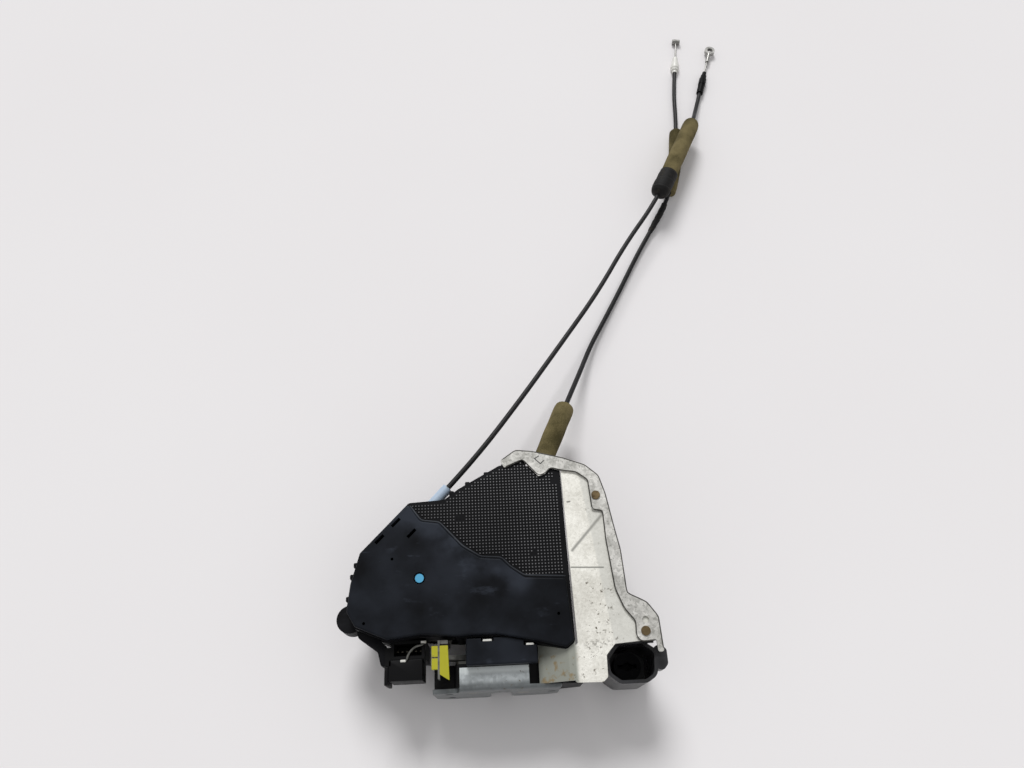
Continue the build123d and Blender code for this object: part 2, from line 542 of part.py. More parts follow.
def release_lever():
    pivot = (RELEASE_X, RELEASE_Y, LEVER_HUB_R)
    knee = (RELEASE_KNEE_X, RELEASE_KNEE_Y, 4.5)
    end = (RELEASE_END[0], RELEASE_END[1], NIPPLE_R + 0.3 + NIPPLE_WALL)
    top = RELEASE_Z + LEVER_T
    lug_x = TAB_X + TAB_T / 2 + 0.1
    foot = (lug_x + LUG_W / 2, LUG_Y, LUG_T)
    arm = link(pivot, knee, RELEASE_Z, top) + link(knee, end, RELEASE_Z, top) + link(pivot, foot, RELEASE_Z, top)
    arm += box(lug_x, lug_x + LUG_W, LUG_Y - LUG_T / 2, LUG_Y + LUG_T / 2, RELEASE_Z, TAB_Z1 - 1)
    arm -= rod(RELEASE_X, RELEASE_Y, RELEASE_PIN_R + RUNNING, RELEASE_Z - 1, top + 1)
    return arm - nipple_slot(RELEASE_END, (RELEASE_X, RELEASE_Y), RELEASE_Z, top)


def nipple_slot(end, pivot, z0, z1):
    """Hole for the wire's nipple, a little long towards the pivot, because the wire runs straight."""
    ux, uy = unit(end, pivot)
    near = (end[0], end[1], NIPPLE_R + 0.25)
    far = (end[0] + ux * 0.8, end[1] + uy * 0.8, NIPPLE_R + 0.25)
    return link(near, far, z0 - 1, z1 + 1)


def release_lever_pin():
    seat = RELEASE_Z - GAP
    return (rod(RELEASE_X, RELEASE_Y, RELEASE_PIN_R, seat, WEB_Z + WEB_T)
            + rod(RELEASE_X, RELEASE_Y, RELEASE_PIN_R + 2.0, seat - PIN_HEAD_T, seat))


def wire_inner(end, wire_z, lever_z, direction, inlet, route):
    bottom = lever_z - 0.6
    nipple = rod(end[0], end[1], NIPPLE_R, bottom, wire_z + NIPPLE_R)
    reach = (route[0][0] + direction[0] * 1.0, route[0][1] + direction[1] * 1.0, wire_z)
    return nipple + rod_between((end[0], end[1], wire_z), reach, WIRE_R)


def release_wire_inner():
    return wire_inner(RELEASE_END, RELEASE_WIRE_Z, RELEASE_Z, RELEASE_PULL, RELEASE_IN, RELEASE_ROUTE)


def lock_wire_inner():
    return wire_inner(LOCK_END, LOCK_WIRE_Z, LINK_Z, LOCK_PULL, LOCK_IN, LOCK_ROUTE)


def wire_outer_start(tip, far, travel):
    ux, uy = unit(tip, far)
    back = travel + 2.0
    return (tip[0] - ux * back, tip[1] - uy * back, tip[2])


def release_wire_outer():
    x, y, z = RELEASE_EYE
    wire = rod_between(wire_outer_start(RELEASE_TIP, RELEASE_EYE, RELEASE_TRAVEL), RELEASE_EYE, WIRE_R)
    eye = rod(x, y, 4.6, z - 1.6, z + 1.6) - rod(x, y, 2.4, z - 3, z + 3)
    ux, uy = unit(RELEASE_TIP, RELEASE_EYE)
    shank = rod_between((x - ux * 15, y - uy * 15, z), (x - ux * 3.4, y - uy * 3.4, z), 1.7)
    return (wire + eye + shank) - rod(x, y, 2.4, z - 3, z + 3)


def lock_wire_outer():
    wire = rod_between(wire_outer_start(LOCK_TIP, LOCK_BARREL, LOCK_TRAVEL), LOCK_BARREL, WIRE_R)
    x, y, z = LOCK_BARREL
    ux, uy = unit(LOCK_TIP, LOCK_BARREL)
    barrel = rod_between((x - uy * 3.5, y + ux * 3.5, z), (x + uy * 3.5, y - ux * 3.5, z), 2.4)
    return wire + barrel


# ---- lock train ----
def link_lever():
    top = LINK_Z + LEVER_T
    pivot = (LINK_X, LINK_Y, LEVER_HUB_R)
    drive = (DRIVE_X, DRIVE_Y, DRIVE_PIN_R + 1.6)
    end = (LOCK_END[0], LOCK_END[1], NIPPLE_R + 0.3 + NIPPLE_WALL)
    arm = link(pivot, drive, LINK_Z, top) + link(pivot, end, LINK_Z, top)
    arm += rod(DRIVE_X, DRIVE_Y, DRIVE_PIN_R, LOCK_Z, LINK_Z)
    arm -= rod(LINK_X, LINK_Y, LINK_PIN_R + RUNNING, LINK_Z - 1, top + 1)
    return arm - nipple_slot(LOCK_END, (LINK_X, LINK_Y), LINK_Z, top)


def link_lever_pin():
    seat = LINK_Z - GAP
    return (rod(LINK_X, LINK_Y, LINK_PIN_R, seat, LINK_Z + LEVER_T + GAP + SCREW_GRIP)
            + rod(LINK_X, LINK_Y, LINK_PIN_R + 2.0, seat - PIN_HEAD_T, seat))


def lock_lever():
    """Blue lever: slotted arm below the web, its shaft passing up through the worm wheel to the cover."""
    reach = (DRIVE_X, DRIVE_Y, DRIVE_PIN_R + 2.2)
    arm = link((LOCK_X, LOCK_Y, 6.5), reach, LOCK_Z, LOCK_Z + LEVER_T)
    arm += rod(LOCK_X, LOCK_Y, 6.5, LOCK_Z, WEB_Z - GAP)
    arm += rod(LOCK_X, LOCK_Y, LOCK_SHAFT_R, WEB_Z - 1, WHEEL_Z0 + WHEEL_T + 3)
    arm += rod(LOCK_X, LOCK_Y, BLUE_R, WHEEL_Z0, COVER_TOP - 0.3)
    ux, uy = unit((LOCK_X, LOCK_Y), (DRIVE_X, DRIVE_Y))
    near = (DRIVE_X - ux * 1.6, DRIVE_Y - uy * 1.6, DRIVE_PIN_R + 0.25)
    far = (DRIVE_X + ux * 5.0, DRIVE_Y + uy * 5.0, DRIVE_PIN_R + 0.25)
    return arm - link(near, far, LOCK_Z - 1, LOCK_Z + LEVER_T + 1)


WHEEL_R = WHEEL_TEETH * WORM_PITCH / (2 * math.pi) + 0.35  # over the teeth
WORM_Y = LOCK_Y - WHEEL_R - WORM_CORE_R - WORM_ECC + MESH
WORM_Z = WHEEL_Z0 + WHEEL_T / 2
MOTOR_X1 = LOCK_X - WORM_ROOM / 2


def worm_wheel():
    """Spur-cut wheel, with a gap between its teeth opposite the worm."""
    root = WHEEL_R - MESH - 0.4
    over = WHEEL_R + 0.3
    root_half = math.degrees(0.35 / root)
    over_half = math.degrees(1.09 / over)
    gap = Polygon(polar(0, 0, root, -root_half), polar(0, 0, over, -over_half), polar(0, 0, over, over_half),
                  polar(0, 0, root, root_half), align=None)
    face = Circle(WHEEL_R) - PolarLocations(0, WHEEL_TEETH, start_angle=-90) * gap
    wheel = Pos(LOCK_X, LOCK_Y, WHEEL_Z0) * extrude(face, WHEEL_T, dir=(0, 0, 1))
    wheel -= rod(LOCK_X, LOCK_Y, root - 1.6, WHEEL_Z0 + WHEEL_T - 1.5, WHEEL_Z0 + WHEEL_T + 1)
    return wheel - rod(LOCK_X, LOCK_Y, LOCK_SHAFT_R, WHEEL_Z0 - 1, WHEEL_Z0 + WHEEL_T + 1)


def motor_worm():
    """Motor shaft and worm: the middle of the thread meets the wheel in one of its gaps."""
    length = WORM_TURNS * WORM_PITCH
    start = Plane(origin=(LOCK_X - length / 2, WORM_Y, WORM_Z), x_dir=(0, 1, 0), z_dir=(1, 0, 0))
    side = WORM_ECC if WORM_TURNS % 2 == 0 else -WORM_ECC
    core = (start * Pos(side, 0) * Circle(WORM_CORE_R)).face()
    end = (LOCK_X + length / 2, WORM_Y, WORM_Z)
    thread = Solid.extrude_linear_with_rotation(core, tuple(start.origin), tuple(Vector(*end) - start.origin),
                                                360 * WORM_TURNS)
    return thread + rod_x(WORM_Y, WORM_Z, WORM_SHAFT_R, MOTOR_X1 - MOTOR_L + 3, LOCK_X + WORM_ROOM / 2 + 2.0)


def lock_motor():
    can = box(MOTOR_X1 - MOTOR_L, MOTOR_X1, WORM_Y - MOTOR_W / 2, WORM_Y + MOTOR_W / 2, WORM_Z - MOTOR_H / 2,
              WORM_Z + MOTOR_H / 2)
    can = fillet(can.edges().filter_by(Axis.X), 3.0)
    can += rod_x(WORM_Y, WORM_Z, 3.0, MOTOR_X1, MOTOR_X1 + 1.2)
    return can - rod_x(WORM_Y, WORM_Z, WORM_SHAFT_R + RUNNING, MOTOR_X1 - MOTOR_L + 2, MOTOR_X1 + 2)


def motor_bearing():
    """Upright in the upper pocket that steadies the worm's free end."""
    x0 = LOCK_X + WORM_ROOM / 2
    block = box(x0, x0 + 2.2, WORM_Y - 4, WORM_Y + 4, WEB_Z + WEB_T, WORM_Z + 4)
    return block - rod_x(WORM_Y, WORM_Z, WORM_SHAFT_R + RUNNING, x0 - 1, x0 + 3.5)


# ---- guard plate and frame ----
GUARD_OUTLINE = ((43.7, 58.0), (52.0, 56.5), (60.0, 52.0), (68.5, 40.0), (72.0, 18.0), (74.5, -21.0), (86.0, -28.5),
                 (92.5, -36.5), (92.0, -49.7), (68.0, -51.2), (62.4, -57.3), (62.0, -69.5), (59.2, -72.0),
                 (43.3, -71.6), (39.8, -54.0), (46.0, -50.0))
FRAME_OUTLINE = ((5.0, 66.2), (15.0, 73.0), (25.7, 71.6), (45.0, 66.4), (59.7, 60.8), (68.0, 53.0), (71.3, 40.5),
                 (74.8, 17.6), (77.1, 4.4), (78.3, -22.6), (89.5, -28.5), (95.5, -37.0), (96.2, -57.0),
                 (92.8, -57.0), (92.4, -49.9), (83.2, -50.4), (80.6, -47.6), (81.2, -39.0), (75.3, -31.3),
                 (71.0, -19.5), (68.3, 10.6), (68.0, 30.0), (61.5, 30.3), (60.4, 50.4), (53.3, 56.0), (45.2, 57.2),
                 (37.0, 59.5), (33.6, 55.8), (29.1, 54.2), (23.6, 60.8), (19.3, 66.0), (7.0, 60.9))
SLOPE_X, SLOPE_Z = 22.6, 44.6


def guard_plate():
    z0 = CASE_Z1 - GUARD_T
    plate = slab(GUARD_OUTLINE, z0, CASE_Z1, 1.5)
    slope = Polygon((44.5, CASE_Z1), (40.0, CASE_Z1), (SLOPE_X, SLOPE_Z + GUARD_T), (SLOPE_X, SLOPE_Z),
                    (SLOPE_X + 2, SLOPE_Z), (40.5, z0), (44.5, z0), align=None)
    plate += upright(slope, -70.4, -47.0)
    plate -= slab(CASE_OUTLINE, CASE_Z0, COVER_TOP)
    plate -= slab(((43.0, 30.0), (47.5, 30.0), (44.5, -60.0), (38.0, -60.0)), 0, 1, 0.5)
    for x, y in RIVETS:
        plate -= rod(x, y, RIVET_R, z0 - 1, CASE_Z1 + 1)
    return plate


def guard_frame():
    strip = slab(FRAME_OUTLINE, CASE_Z1, CASE_Z1 + FRAME_T, 1.2)
    for x, y in RIVETS:
        strip -= rod(x, y, RIVET_R, CASE_Z1 - 1, CASE_Z1 + FRAME_T + 1)
    return strip - rod(87.4, -38.4, 2.0, CASE_Z1 - 1, CASE_Z1 + FRAME_T + 1)


def guard_rivets():
    rivets = []
    for x, y in RIVETS:
        low = CASE_Z1 - GUARD_T if y > 0 else CASE_Z1 - GUARD_T - WALL
        rivet = rod(x, y, RIVET_R, low - 1.0, CASE_Z1 + FRAME_T + 0.8)
        rivet += rod(x, y, RIVET_HEAD_R, low - 1.0, low)
        rivet += rod(x, y, RIVET_HEAD_R, CASE_Z1 + FRAME_T, CASE_Z1 + FRAME_T + 0.8)
        rivets.append(rivet)
    return Compound(children=rivets)


# ---- key cylinder funnel ----
def key_funnel():
    floor = FUNNEL_Z0 + 2.4
    cup = slab(FUNNEL_OUTLINE, FUNNEL_Z0, FUNNEL_Z1, 6.0)
    cup -= slab(FUNNEL_OUTLINE, floor, FUNNEL_Z1 + 1, 6.0, inset=FUNNEL_WALL)
    lip = slab(((91.0, -50.5), (99.4, -54.0), (99.4, -63.0), (93.0, -70.5)), FUNNEL_Z1 - 9, FUNNEL_Z1, 3.0)
    lip -= slab(FUNNEL_OUTLINE, FUNNEL_Z0, FUNNEL_Z1 + 1, 6.0)
    cup += lip
    top = CASE_Z1 - GUARD_T
    cup += box(71.0, 88.0, -51.4, -49.2, FUNNEL_Z1 - 12, top)
    cup += box(71.0, 91.0, -51.4, -38.0, top - WALL, top)
    x, y = RIVETS[1]
    cup -= rod(x, y, RIVET_R, top - WALL - 1, top + 1)
    return cup - rod(ROTOR_X, ROTOR_Y, STEM_R + RUNNING, FUNNEL_Z0 - 1, floor + 1)


def key_rotor():
    """Cup that the key cylinder's blade turns, with its stem through the funnel's floor."""
    z0 = FUNNEL_Z0 + 2.4 + GAP
    rotor = rod(ROTOR_X, ROTOR_Y, ROTOR_R, z0, ROTOR_Z1)
    rotor -= box(ROTOR_X - 6, ROTOR_X + 6, ROTOR_Y - 1.2, ROTOR_Y + 1.2, z0 + 4, ROTOR_Z1 + 1)
    rotor -= rod(ROTOR_X, ROTOR_Y, 2.6, z0 + 4, ROTOR_Z1 + 1)
    return rotor + rod(ROTOR_X, ROTOR_Y, STEM_R, FUNNEL_Z0 + 0.4, z0)


# ---- connector ----
def connector_shell():
    """Socket for the wiring plug, open upwards, with a guard fin on its left."""
    shell = box(SOCKET_X0, SOCKET_X1, SOCKET_Y0, SOCKET_Y1, SOCKET_Z0, SOCKET_Z1)
    w = SOCKET_WALL
    shell -= box(SOCKET_X0 + w, SOCKET_X1 - w, SOCKET_Y0 + w, SOCKET_Y1 - w, SOCKET_FLOOR, SOCKET_Z1 + 1)
    shell -= box(SOCKET_X0 + w, SOCKET_X1 - w, SOCKET_Y0 + w, SOCKET_Y1 - w, SOCKET_Z0 - 1, SOCKET_FLOOR - w)
    shell += box(SOCKET_X0 - FIN_T, SOCKET_X0, FIN_Y0, FIN_Y1, FIN_Z0, SOCKET_Z1)
    return shell - slab(CASE_OUTLINE, TRAY_Z0, COVER_TOP)


def connector_terminals():
    pitch = (SOCKET_X1 - SOCKET_X0 - 2 * SOCKET_WALL) / PIN_COUNT
    y = (SOCKET_Y0 + SOCKET_Y1) / 2
    blades = []
    for k in range(PIN_COUNT):
        x = SOCKET_X0 + SOCKET_WALL + (k + 0.5) * pitch
        blades.append(box(x - 0.5, x + 0.5, y - 0.32, y + 0.32, SOCKET_FLOOR, SOCKET_FLOOR + 9))
    return Compound(children=blades)


# ---- cables ----
def corner_radii(route):
    radii = []
    for a, b, c in zip(route, route[1:], route[2:]):
        before, after = Vector(*b) - Vector(*a), Vector(*c) - Vector(*b)
        half = math.radians(before.get_angle(after)) / 2
        radii.append(0.45 * min(before.length, after.length) / math.tan(half))
    return radii


def tube(route, r, bore):
    path = FilletPolyline(*route, radius=corner_radii(route))
    start = Plane(origin=path @ 0, z_dir=path % 0)
    solid = sweep(start * Circle(r), path=path) - sweep(start * Circle(bore), path=path)
    expected = math.pi * (r * r - bore * bore) * path.length
    print("tube", round(path.length, 1), "mm long, volume against section x length", round(solid.volume / expected, 5),
          "smallest radius", round(min(corner_radii(route)), 1))
    return solid


def between(a, b, share):
    return tuple(p + (q - p) * share for p, q in zip(a, b))


def release_casing():
    return tube(RELEASE_ROUTE, CASING_R, WIRE_R + 0.25)


def lock_casing():
    return tube(LOCK_ROUTE, CASING_R, WIRE_R + 0.25)


def release_foam():
    start = between(RELEASE_ROUTE[6], RELEASE_ROUTE[7], RELEASE_FOAM_SPAN[0])
    end = between(RELEASE_ROUTE[7], RELEASE_ROUTE[8], RELEASE_FOAM_SPAN[1])
    return tube((start, RELEASE_ROUTE[7], end), FOAM_R, CASING_R + FOAM_PLAY)


def lock_foam_outer():
    start = between(LOCK_ROUTE[9], LOCK_ROUTE[10], 0.6)
    end = between(LOCK_ROUTE[11], LOCK_ROUTE[12], 0.95)
    return tube((start, LOCK_ROUTE[10], LOCK_ROUTE[11], end), FOAM_UNDER_R, CASING_R + FOAM_PLAY)


def lock_foam_inner():
    start = between(LOCK_ROUTE[0], LOCK_ROUTE[1], 0.12)
    end = between(LOCK_ROUTE[1], LOCK_ROUTE[2], 0.8)
    return tube((start, LOCK_ROUTE[1], end), FOAM_R, CASING_R + FOAM_PLAY)


def sleeve(start, end, r):
    """Ferrule on the casing's end: it butts on the casing and lets the wire through."""
    bore = rod_between(between(start, end, -0.1), between(start, end, 1.1), WIRE_R + 0.25)
    return rod_between(start, end, r) - bore


def release_gland():
    return sleeve(RELEASE_IN, RELEASE_ROUTE[0], GLAND_R)


def lock_gland():
    return sleeve(LOCK_IN, LOCK_ROUTE[0], GLAND_R)


def release_end_ferrule():
    return sleeve(RELEASE_ROUTE[-1], RELEASE_TIP, 3.0)


def lock_end_ferrule():
    return sleeve(LOCK_ROUTE[-1], LOCK_TIP, 2.4)


PARTS = {
    "main_case": main_case, "front_cover": front_cover, "rear_cover": rear_cover, "cover_screws": cover_screws,
    "latch_body": latch_body, "latch_liner": latch_liner, "base_plate": base_plate,
    "back_plate": back_plate, "latch_top_cover": latch_top_cover,
    "mouth_bumper": mouth_bumper, "ratchet_pin": ratchet_pin, "pawl_pin": pawl_pin, "ratchet": ratchet,
    "ratchet_overmould": ratchet_overmould, "pawl": pawl, "open_lever": open_lever,
    "open_lever_clip": open_lever_clip, "release_lever": release_lever, "release_lever_pin": release_lever_pin,
    "link_lever": link_lever, "link_lever_pin": link_lever_pin, "lock_lever": lock_lever, "worm_wheel": worm_wheel,
    "motor_worm": motor_worm, "lock_motor": lock_motor, "motor_bearing": motor_bearing, "guard_plate": guard_plate,
    "guard_frame": guard_frame, "guard_rivets": guard_rivets, "key_funnel": key_funnel, "key_rotor": key_rotor,
    "connector_shell": connector_shell, "connector_terminals": connector_terminals, "release_gland": release_gland,
    "lock_gland": lock_gland, "release_casing": release_casing, "lock_casing": lock_casing,
    "release_foam": release_foam, "lock_foam_outer": lock_foam_outer, "lock_foam_inner": lock_foam_inner,
    "release_end_ferrule": release_end_ferrule, "lock_end_ferrule": lock_end_ferrule,
    "release_wire_inner": release_wire_inner, "lock_wire_inner": lock_wire_inner,
    "release_wire_outer": release_wire_outer, "lock_wire_outer": lock_wire_outer,
}

os.makedirs("parts", exist_ok=True)
for name, make in PARTS.items():
    export_step(make(), f"parts/{name}.step")
print("release arm", round(RELEASE_ARM, 2), "travel", round(RELEASE_TRAVEL, 2), "start", RELEASE_END)
print("lock arm", round(LOCK_ARM, 2), "travel", round(LOCK_TRAVEL, 2), "start", LOCK_END)
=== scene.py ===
import math
import bpy
import numpy as np
from mathutils import Matrix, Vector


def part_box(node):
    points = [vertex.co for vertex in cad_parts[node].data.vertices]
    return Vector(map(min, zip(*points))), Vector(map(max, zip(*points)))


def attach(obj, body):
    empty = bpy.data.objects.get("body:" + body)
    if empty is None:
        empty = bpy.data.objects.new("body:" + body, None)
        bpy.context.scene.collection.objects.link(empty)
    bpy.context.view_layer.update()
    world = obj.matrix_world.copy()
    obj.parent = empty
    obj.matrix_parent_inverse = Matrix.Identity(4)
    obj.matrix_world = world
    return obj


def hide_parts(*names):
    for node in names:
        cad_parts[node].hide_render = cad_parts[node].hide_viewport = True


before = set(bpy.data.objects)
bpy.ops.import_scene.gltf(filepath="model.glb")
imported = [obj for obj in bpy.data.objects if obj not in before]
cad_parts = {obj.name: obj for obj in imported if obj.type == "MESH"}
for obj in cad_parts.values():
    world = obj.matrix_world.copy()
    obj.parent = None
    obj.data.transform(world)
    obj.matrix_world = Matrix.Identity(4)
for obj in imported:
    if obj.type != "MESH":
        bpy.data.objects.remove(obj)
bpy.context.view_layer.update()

# ---- Viewpoint ----
# The latch lies on a bench on its inner side. The eye is high over the latch face,
# and looks a little to the right of the case's own axes.
MM = 0.001
AIM = np.array((16.5, 149.05, 0.0)) * MM
EYE_HEIGHT = math.radians(64.0)
EYE_TURN = math.radians(2.69)
EYE_DISTANCE = 596.9 * MM
LENS_MM = 27.42
SENSOR_MM = 36.0
CLIP_START = 10 * MM

forward = np.array((math.sin(EYE_TURN) * math.cos(EYE_HEIGHT), math.cos(EYE_TURN) * math.cos(EYE_HEIGHT),
                    -math.sin(EYE_HEIGHT)))
right = np.array((math.cos(EYE_TURN), -math.sin(EYE_TURN), 0.0))
eye = np.eye(4)
eye[:3, 0] = right
eye[:3, 1] = np.cross(right, forward)
eye[:3, 2] = -forward
eye[:3, 3] = AIM - EYE_DISTANCE * forward
camera_data = bpy.data.cameras.new("camera")
camera_data.lens = LENS_MM
camera_data.sensor_width = SENSOR_MM
camera_data.clip_start = CLIP_START
camera = bpy.data.objects.new("camera", camera_data)
bpy.context.collection.objects.link(camera)
camera.matrix_world = Matrix(eye.tolist())
bpy.context.scene.camera = camera
bpy.context.scene.view_settings.view_transform = "Standard"


# ---- Bowden cables ----
# Two stranded wires slide in extruded sheaths of black nylon. Each sheath is clipped into a moulded
# gland in the case and ends in a ferrule that snaps into the inside handle's bracket.
class Flow:
    """A socket of a material's tree. Arithmetic on it adds Math nodes, and node() adds any other."""

    def __init__(self, tree, socket):
        self.tree = tree
        self.socket = socket

    def node(self, kind, settings=None, inputs=None, output=0):
        """Adds a node, sets its settings, then its sockets by name or number, and gives one output."""
        made = self.tree.nodes.new("ShaderNode" + kind)
        for name, value in (settings or {}).items():
            setattr(made, name, value)
        for name, value in (inputs or {}).items():
            if isinstance(value, Flow):
                self.tree.links.new(value.socket, made.inputs[name])
            else:
                made.inputs[name].default_value = value
        return Flow(self.tree, made.outputs[output])

    def maths(self, operation, *values):
        """A Math node on this and the given values."""
        return self.node("Math", {"operation": operation}, dict(enumerate((self, *values))))

    def __add__(self, other):
        return self.maths("ADD", other)

    __radd__ = __add__

    def __mul__(self, other):
        return self.maths("MULTIPLY", other)

    __rmul__ = __mul__

    def __sub__(self, other):
        return self.maths("SUBTRACT", other)

    def __rsub__(self, other):
        return self.node("Math", {"operation": "SUBTRACT"}, {0: other, 1: self})

    def blend(self, low, high):
        """Colour low where this is 0 and high where it is 1."""
        return self.node("Mix", {"data_type": "RGBA"}, {0: self, 6: low, 7: high}, output=2)

    def step(self, start, end):
        """0 at start, 1 at end, and smooth between them."""
        return self.node("MapRange", {"interpolation_type": "SMOOTHSTEP"}, {0: self, 1: start, 2: end})

    def noise(self, scale, detail=3.0, roughness=0.5):
        """Cloudy pattern round 0.5, with scale features to the metre."""
        return self.node("TexNoise", None, {"Vector": self, "Scale": scale, "Detail": detail,
                                            "Roughness": roughness})

    def vector(self, operation, *values, output=0):
        """A Vector Math node on this and the given values."""
        return self.node("VectorMath", {"operation": operation}, dict(enumerate((self, *values))), output)

    def near(self, start, end, reach):
        """1 on the line from start to end, seen from above, and 0 from reach away; all in metres."""
        run = np.array((*end, 0.0)) - np.array((*start, 0.0))
        offset = self.vector("MULTIPLY", (1.0, 1.0, 0.0)).vector("SUBTRACT", (*start, 0.0))
        share = offset.vector("DOT_PRODUCT", tuple(run / run.dot(run)), output=1)
        share = share.maths("MAXIMUM", 0.0).maths("MINIMUM", 1.0)
        foot = share.node("CombineXYZ", None, {0: share, 1: share, 2: share}).vector("MULTIPLY", tuple(run))
        return offset.vector("SUBTRACT", foot).vector("LENGTH", output=1).step(reach, 0.0)

    def split(self):
        """Its three coordinates."""
        return [self.node("SeparateXYZ", None, {"Vector": self}, output) for output in range(3)]

    def stretched(self, x, y, z):
        """The same coordinates, each axis scaled by its own factor."""
        return self.node("Mapping", None, {"Vector": self, "Scale": (x, y, z)})


def paint(red, green, blue):
    """Linear colour of a tone seen on a screen, 0 to 255, by the sRGB curve."""
    seen = np.array((red, green, blue)) / 255
    linear = np.where(seen <= 0.04045, seen / 12.92, ((seen + 0.055) / 1.055) ** 2.4)
    return (*[float(v) for v in linear], 1.0)


class Finish:
    """A material with its shader and, as a Flow, the object coordinates in metres."""

    def __init__(self, name, metallic=0.0, specular=0.5):
        self.material = bpy.data.materials.new(name)
        self.material.use_nodes = True
        tree = self.material.node_tree
        self.shader = tree.nodes["Principled BSDF"]
        self.shader.inputs["Metallic"].default_value = metallic
        self.shader.inputs["Specular IOR Level"].default_value = specular
        self.place = Flow(tree, None).node("TexCoord", output=3)

    def feed(self, socket, flow):
        """Links flow to a socket of the shader."""
        flow.tree.links.new(flow.socket, self.shader.inputs[socket])

    def relief(self, height, distance, strength):
        """Bump of that height map; distance is in metres."""
        self.feed("Normal", height.node("Bump", None, {"Strength": strength, "Distance": distance,
                                                       "Height": height}))

    def dress(self, *pieces):
        """Puts the finish on CAD nodes, by name, or on new pieces."""
        for piece in pieces:
            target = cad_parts[piece] if isinstance(piece, str) else piece
            target.data.materials.clear()
            target.data.materials.append(self.material)


CASING_R = 1.8 * MM
# Control points from the gland to the far ferrule, in mm.
RELEASE_ROUTE = np.array((
    (-31.1, 55.4, 37.2), (-11.5, 76.4, 37.2), (20.8, 119.4, 34.0), (52.9, 165.4, 29.0), (86.0, 213.0, 24.6),
    (112.8, 259.0, 22.0), (142.6, 300.8, 21.4), (167.0, 347.8, 22.4), (188.5, 392.7, 16.0),
    (197.6, 418.4, 3.4), (204.5, 439.2, 3.4))) * MM
LOCK_ROUTE = np.array((
    (31.4, 67.6, 32.8), (43.4, 94.0, 32.8), (54.8, 120.6, 24.4), (67.9, 150.9, 12.5), (78.4, 175.7, 6.0),
    (90.6, 197.6, 3.2), (107.8, 228.6, 2.2), (125.6, 262.1, 2.1), (139.3, 284.9, 2.7), (154.4, 309.5, 5.2),
    (163.0, 331.0, 6.5), (170.0, 358.0, 6.6), (175.2, 391.0, 6.4), (178.4, 414.1, 3.6), (181.0, 442.0, 2.5),
    (185.2, 466.9, 2.5))) * MM


def cable(name, route):
    """Sheath as a quadratic NURBS curve on the route's points, with a round section. The section's size is
    the points' radius, on a bevel of depth 1, so that the curve's bounding box is true."""
    curve = bpy.data.curves.new(name, "CURVE")
    curve.dimensions = "3D"
    curve.bevel_depth = 1.0
    curve.bevel_resolution = 6
    curve.resolution_u = 16
    curve.use_fill_caps = True
    spline = curve.splines.new("NURBS")
    spline.points.add(len(route) - 1)
    spline.points.foreach_set("co", np.column_stack((route, np.ones(len(route)))).ravel())
    spline.points.foreach_set("radius", np.full(len(route), CASING_R))
    spline.order_u = 3
    spline.use_endpoint_u = True
    piece = bpy.data.objects.new(name, curve)
    bpy.context.collection.objects.link(piece)
    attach(piece, "case")
    return piece


sheath = Finish("extruded_sheath", specular=0.18)
sheath.feed("Base Color", sheath.place.noise(60.0).blend(paint(26, 26, 27), paint(38, 38, 39)))
sheath.feed("Roughness", 0.34 + 0.16 * sheath.place.noise(240.0))
sheath.relief(sheath.place.noise(900.0), 0.05 * MM, 0.4)

release_sheath = cable("release_cable_sheath", RELEASE_ROUTE)
lock_sheath = cable("lock_cable_sheath", LOCK_ROUTE)
sheath.dress(release_sheath, lock_sheath)
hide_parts("release_casing")
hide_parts("lock_casing")

# How finely a sheath's course is worked out, and how finely a stretch of it is looked up.
COURSE_SAMPLES = 4000
COURSE_POINTS = 1200


def course(route):
    """Distances and points, evenly spaced along the quadratic B-spline that the sheath follows. Each point
    blends three neighbouring control points, twice in pairs and once more between the pairs, by its
    share of the knots that they span; the knots are whole numbers, three of them alike at each end."""
    last = len(route) - 2
    knots = np.concatenate(((0, 0), np.arange(last + 1), (last, last))).astype(float)
    u = np.linspace(0, last, COURSE_SAMPLES)[:-1]
    span = np.floor(u).astype(int) + 2
    k = [knots[span + shift] for shift in (-1, 0, 1, 2)]
    mid_low = (u - k[0]) / (k[2] - k[0])
    mid_high = (u - k[1]) / (k[3] - k[1])
    top = (u - k[1]) / (k[2] - k[1])
    a = route[span - 2] * (1 - mid_low)[:, None] + route[span - 1] * mid_low[:, None]
    b = route[span - 1] * (1 - mid_high)[:, None] + route[span] * mid_high[:, None]
    points = a * (1 - top)[:, None] + b * top[:, None]
    points = np.vstack((points, route[-1]))
    travel = np.concatenate(((0,), np.cumsum(np.linalg.norm(np.diff(points, axis=0), axis=1))))
    even = np.linspace(0, travel[-1], COURSE_POINTS)
    return even, np.column_stack([np.interp(even, travel, points[:, axis]) for axis in range(3)])


def stretch(route, start, end, count):
    """Points of the sheath's course from start to end, in metres along it, or from the far end if negative."""
    travel, line = course(route)
    ends = [place if place >= 0 else travel[-1] + place for place in (start, end)]
    even = np.linspace(*ends, count)
    return np.column_stack([np.interp(even, travel, line[:, axis]) for axis in range(3)])


# ---- Foam sleeves ----
# Closed-cell foam tubes slipped over the sheaths, so that they don't rattle against the door.
# The ends are cut with a knife, and the foam is dented where it has been clamped.
SLEEVE_R = 7.0 * MM
UNDER_SLEEVE_R = 5.8 * MM
SLEEVE_BORE_R = 1.95 * MM
SLEEVE_RINGS = 60
SLEEVE_SIDES = 32
DENT_DEPTH = 0.03
END_ROUNDING = 0.05
# Edges that turn by more than this stay sharp.
SHARP_ANGLE = math.radians(40)
# Where each sleeve starts and ends along its sheath, in metres; from the far ferrule where negative.
UPPER_FOAM = (-0.1432, -0.0544)
UNDER_FOAM = (-0.1470, -0.0785)
CASE_FOAM = (0.0035, 0.0530)

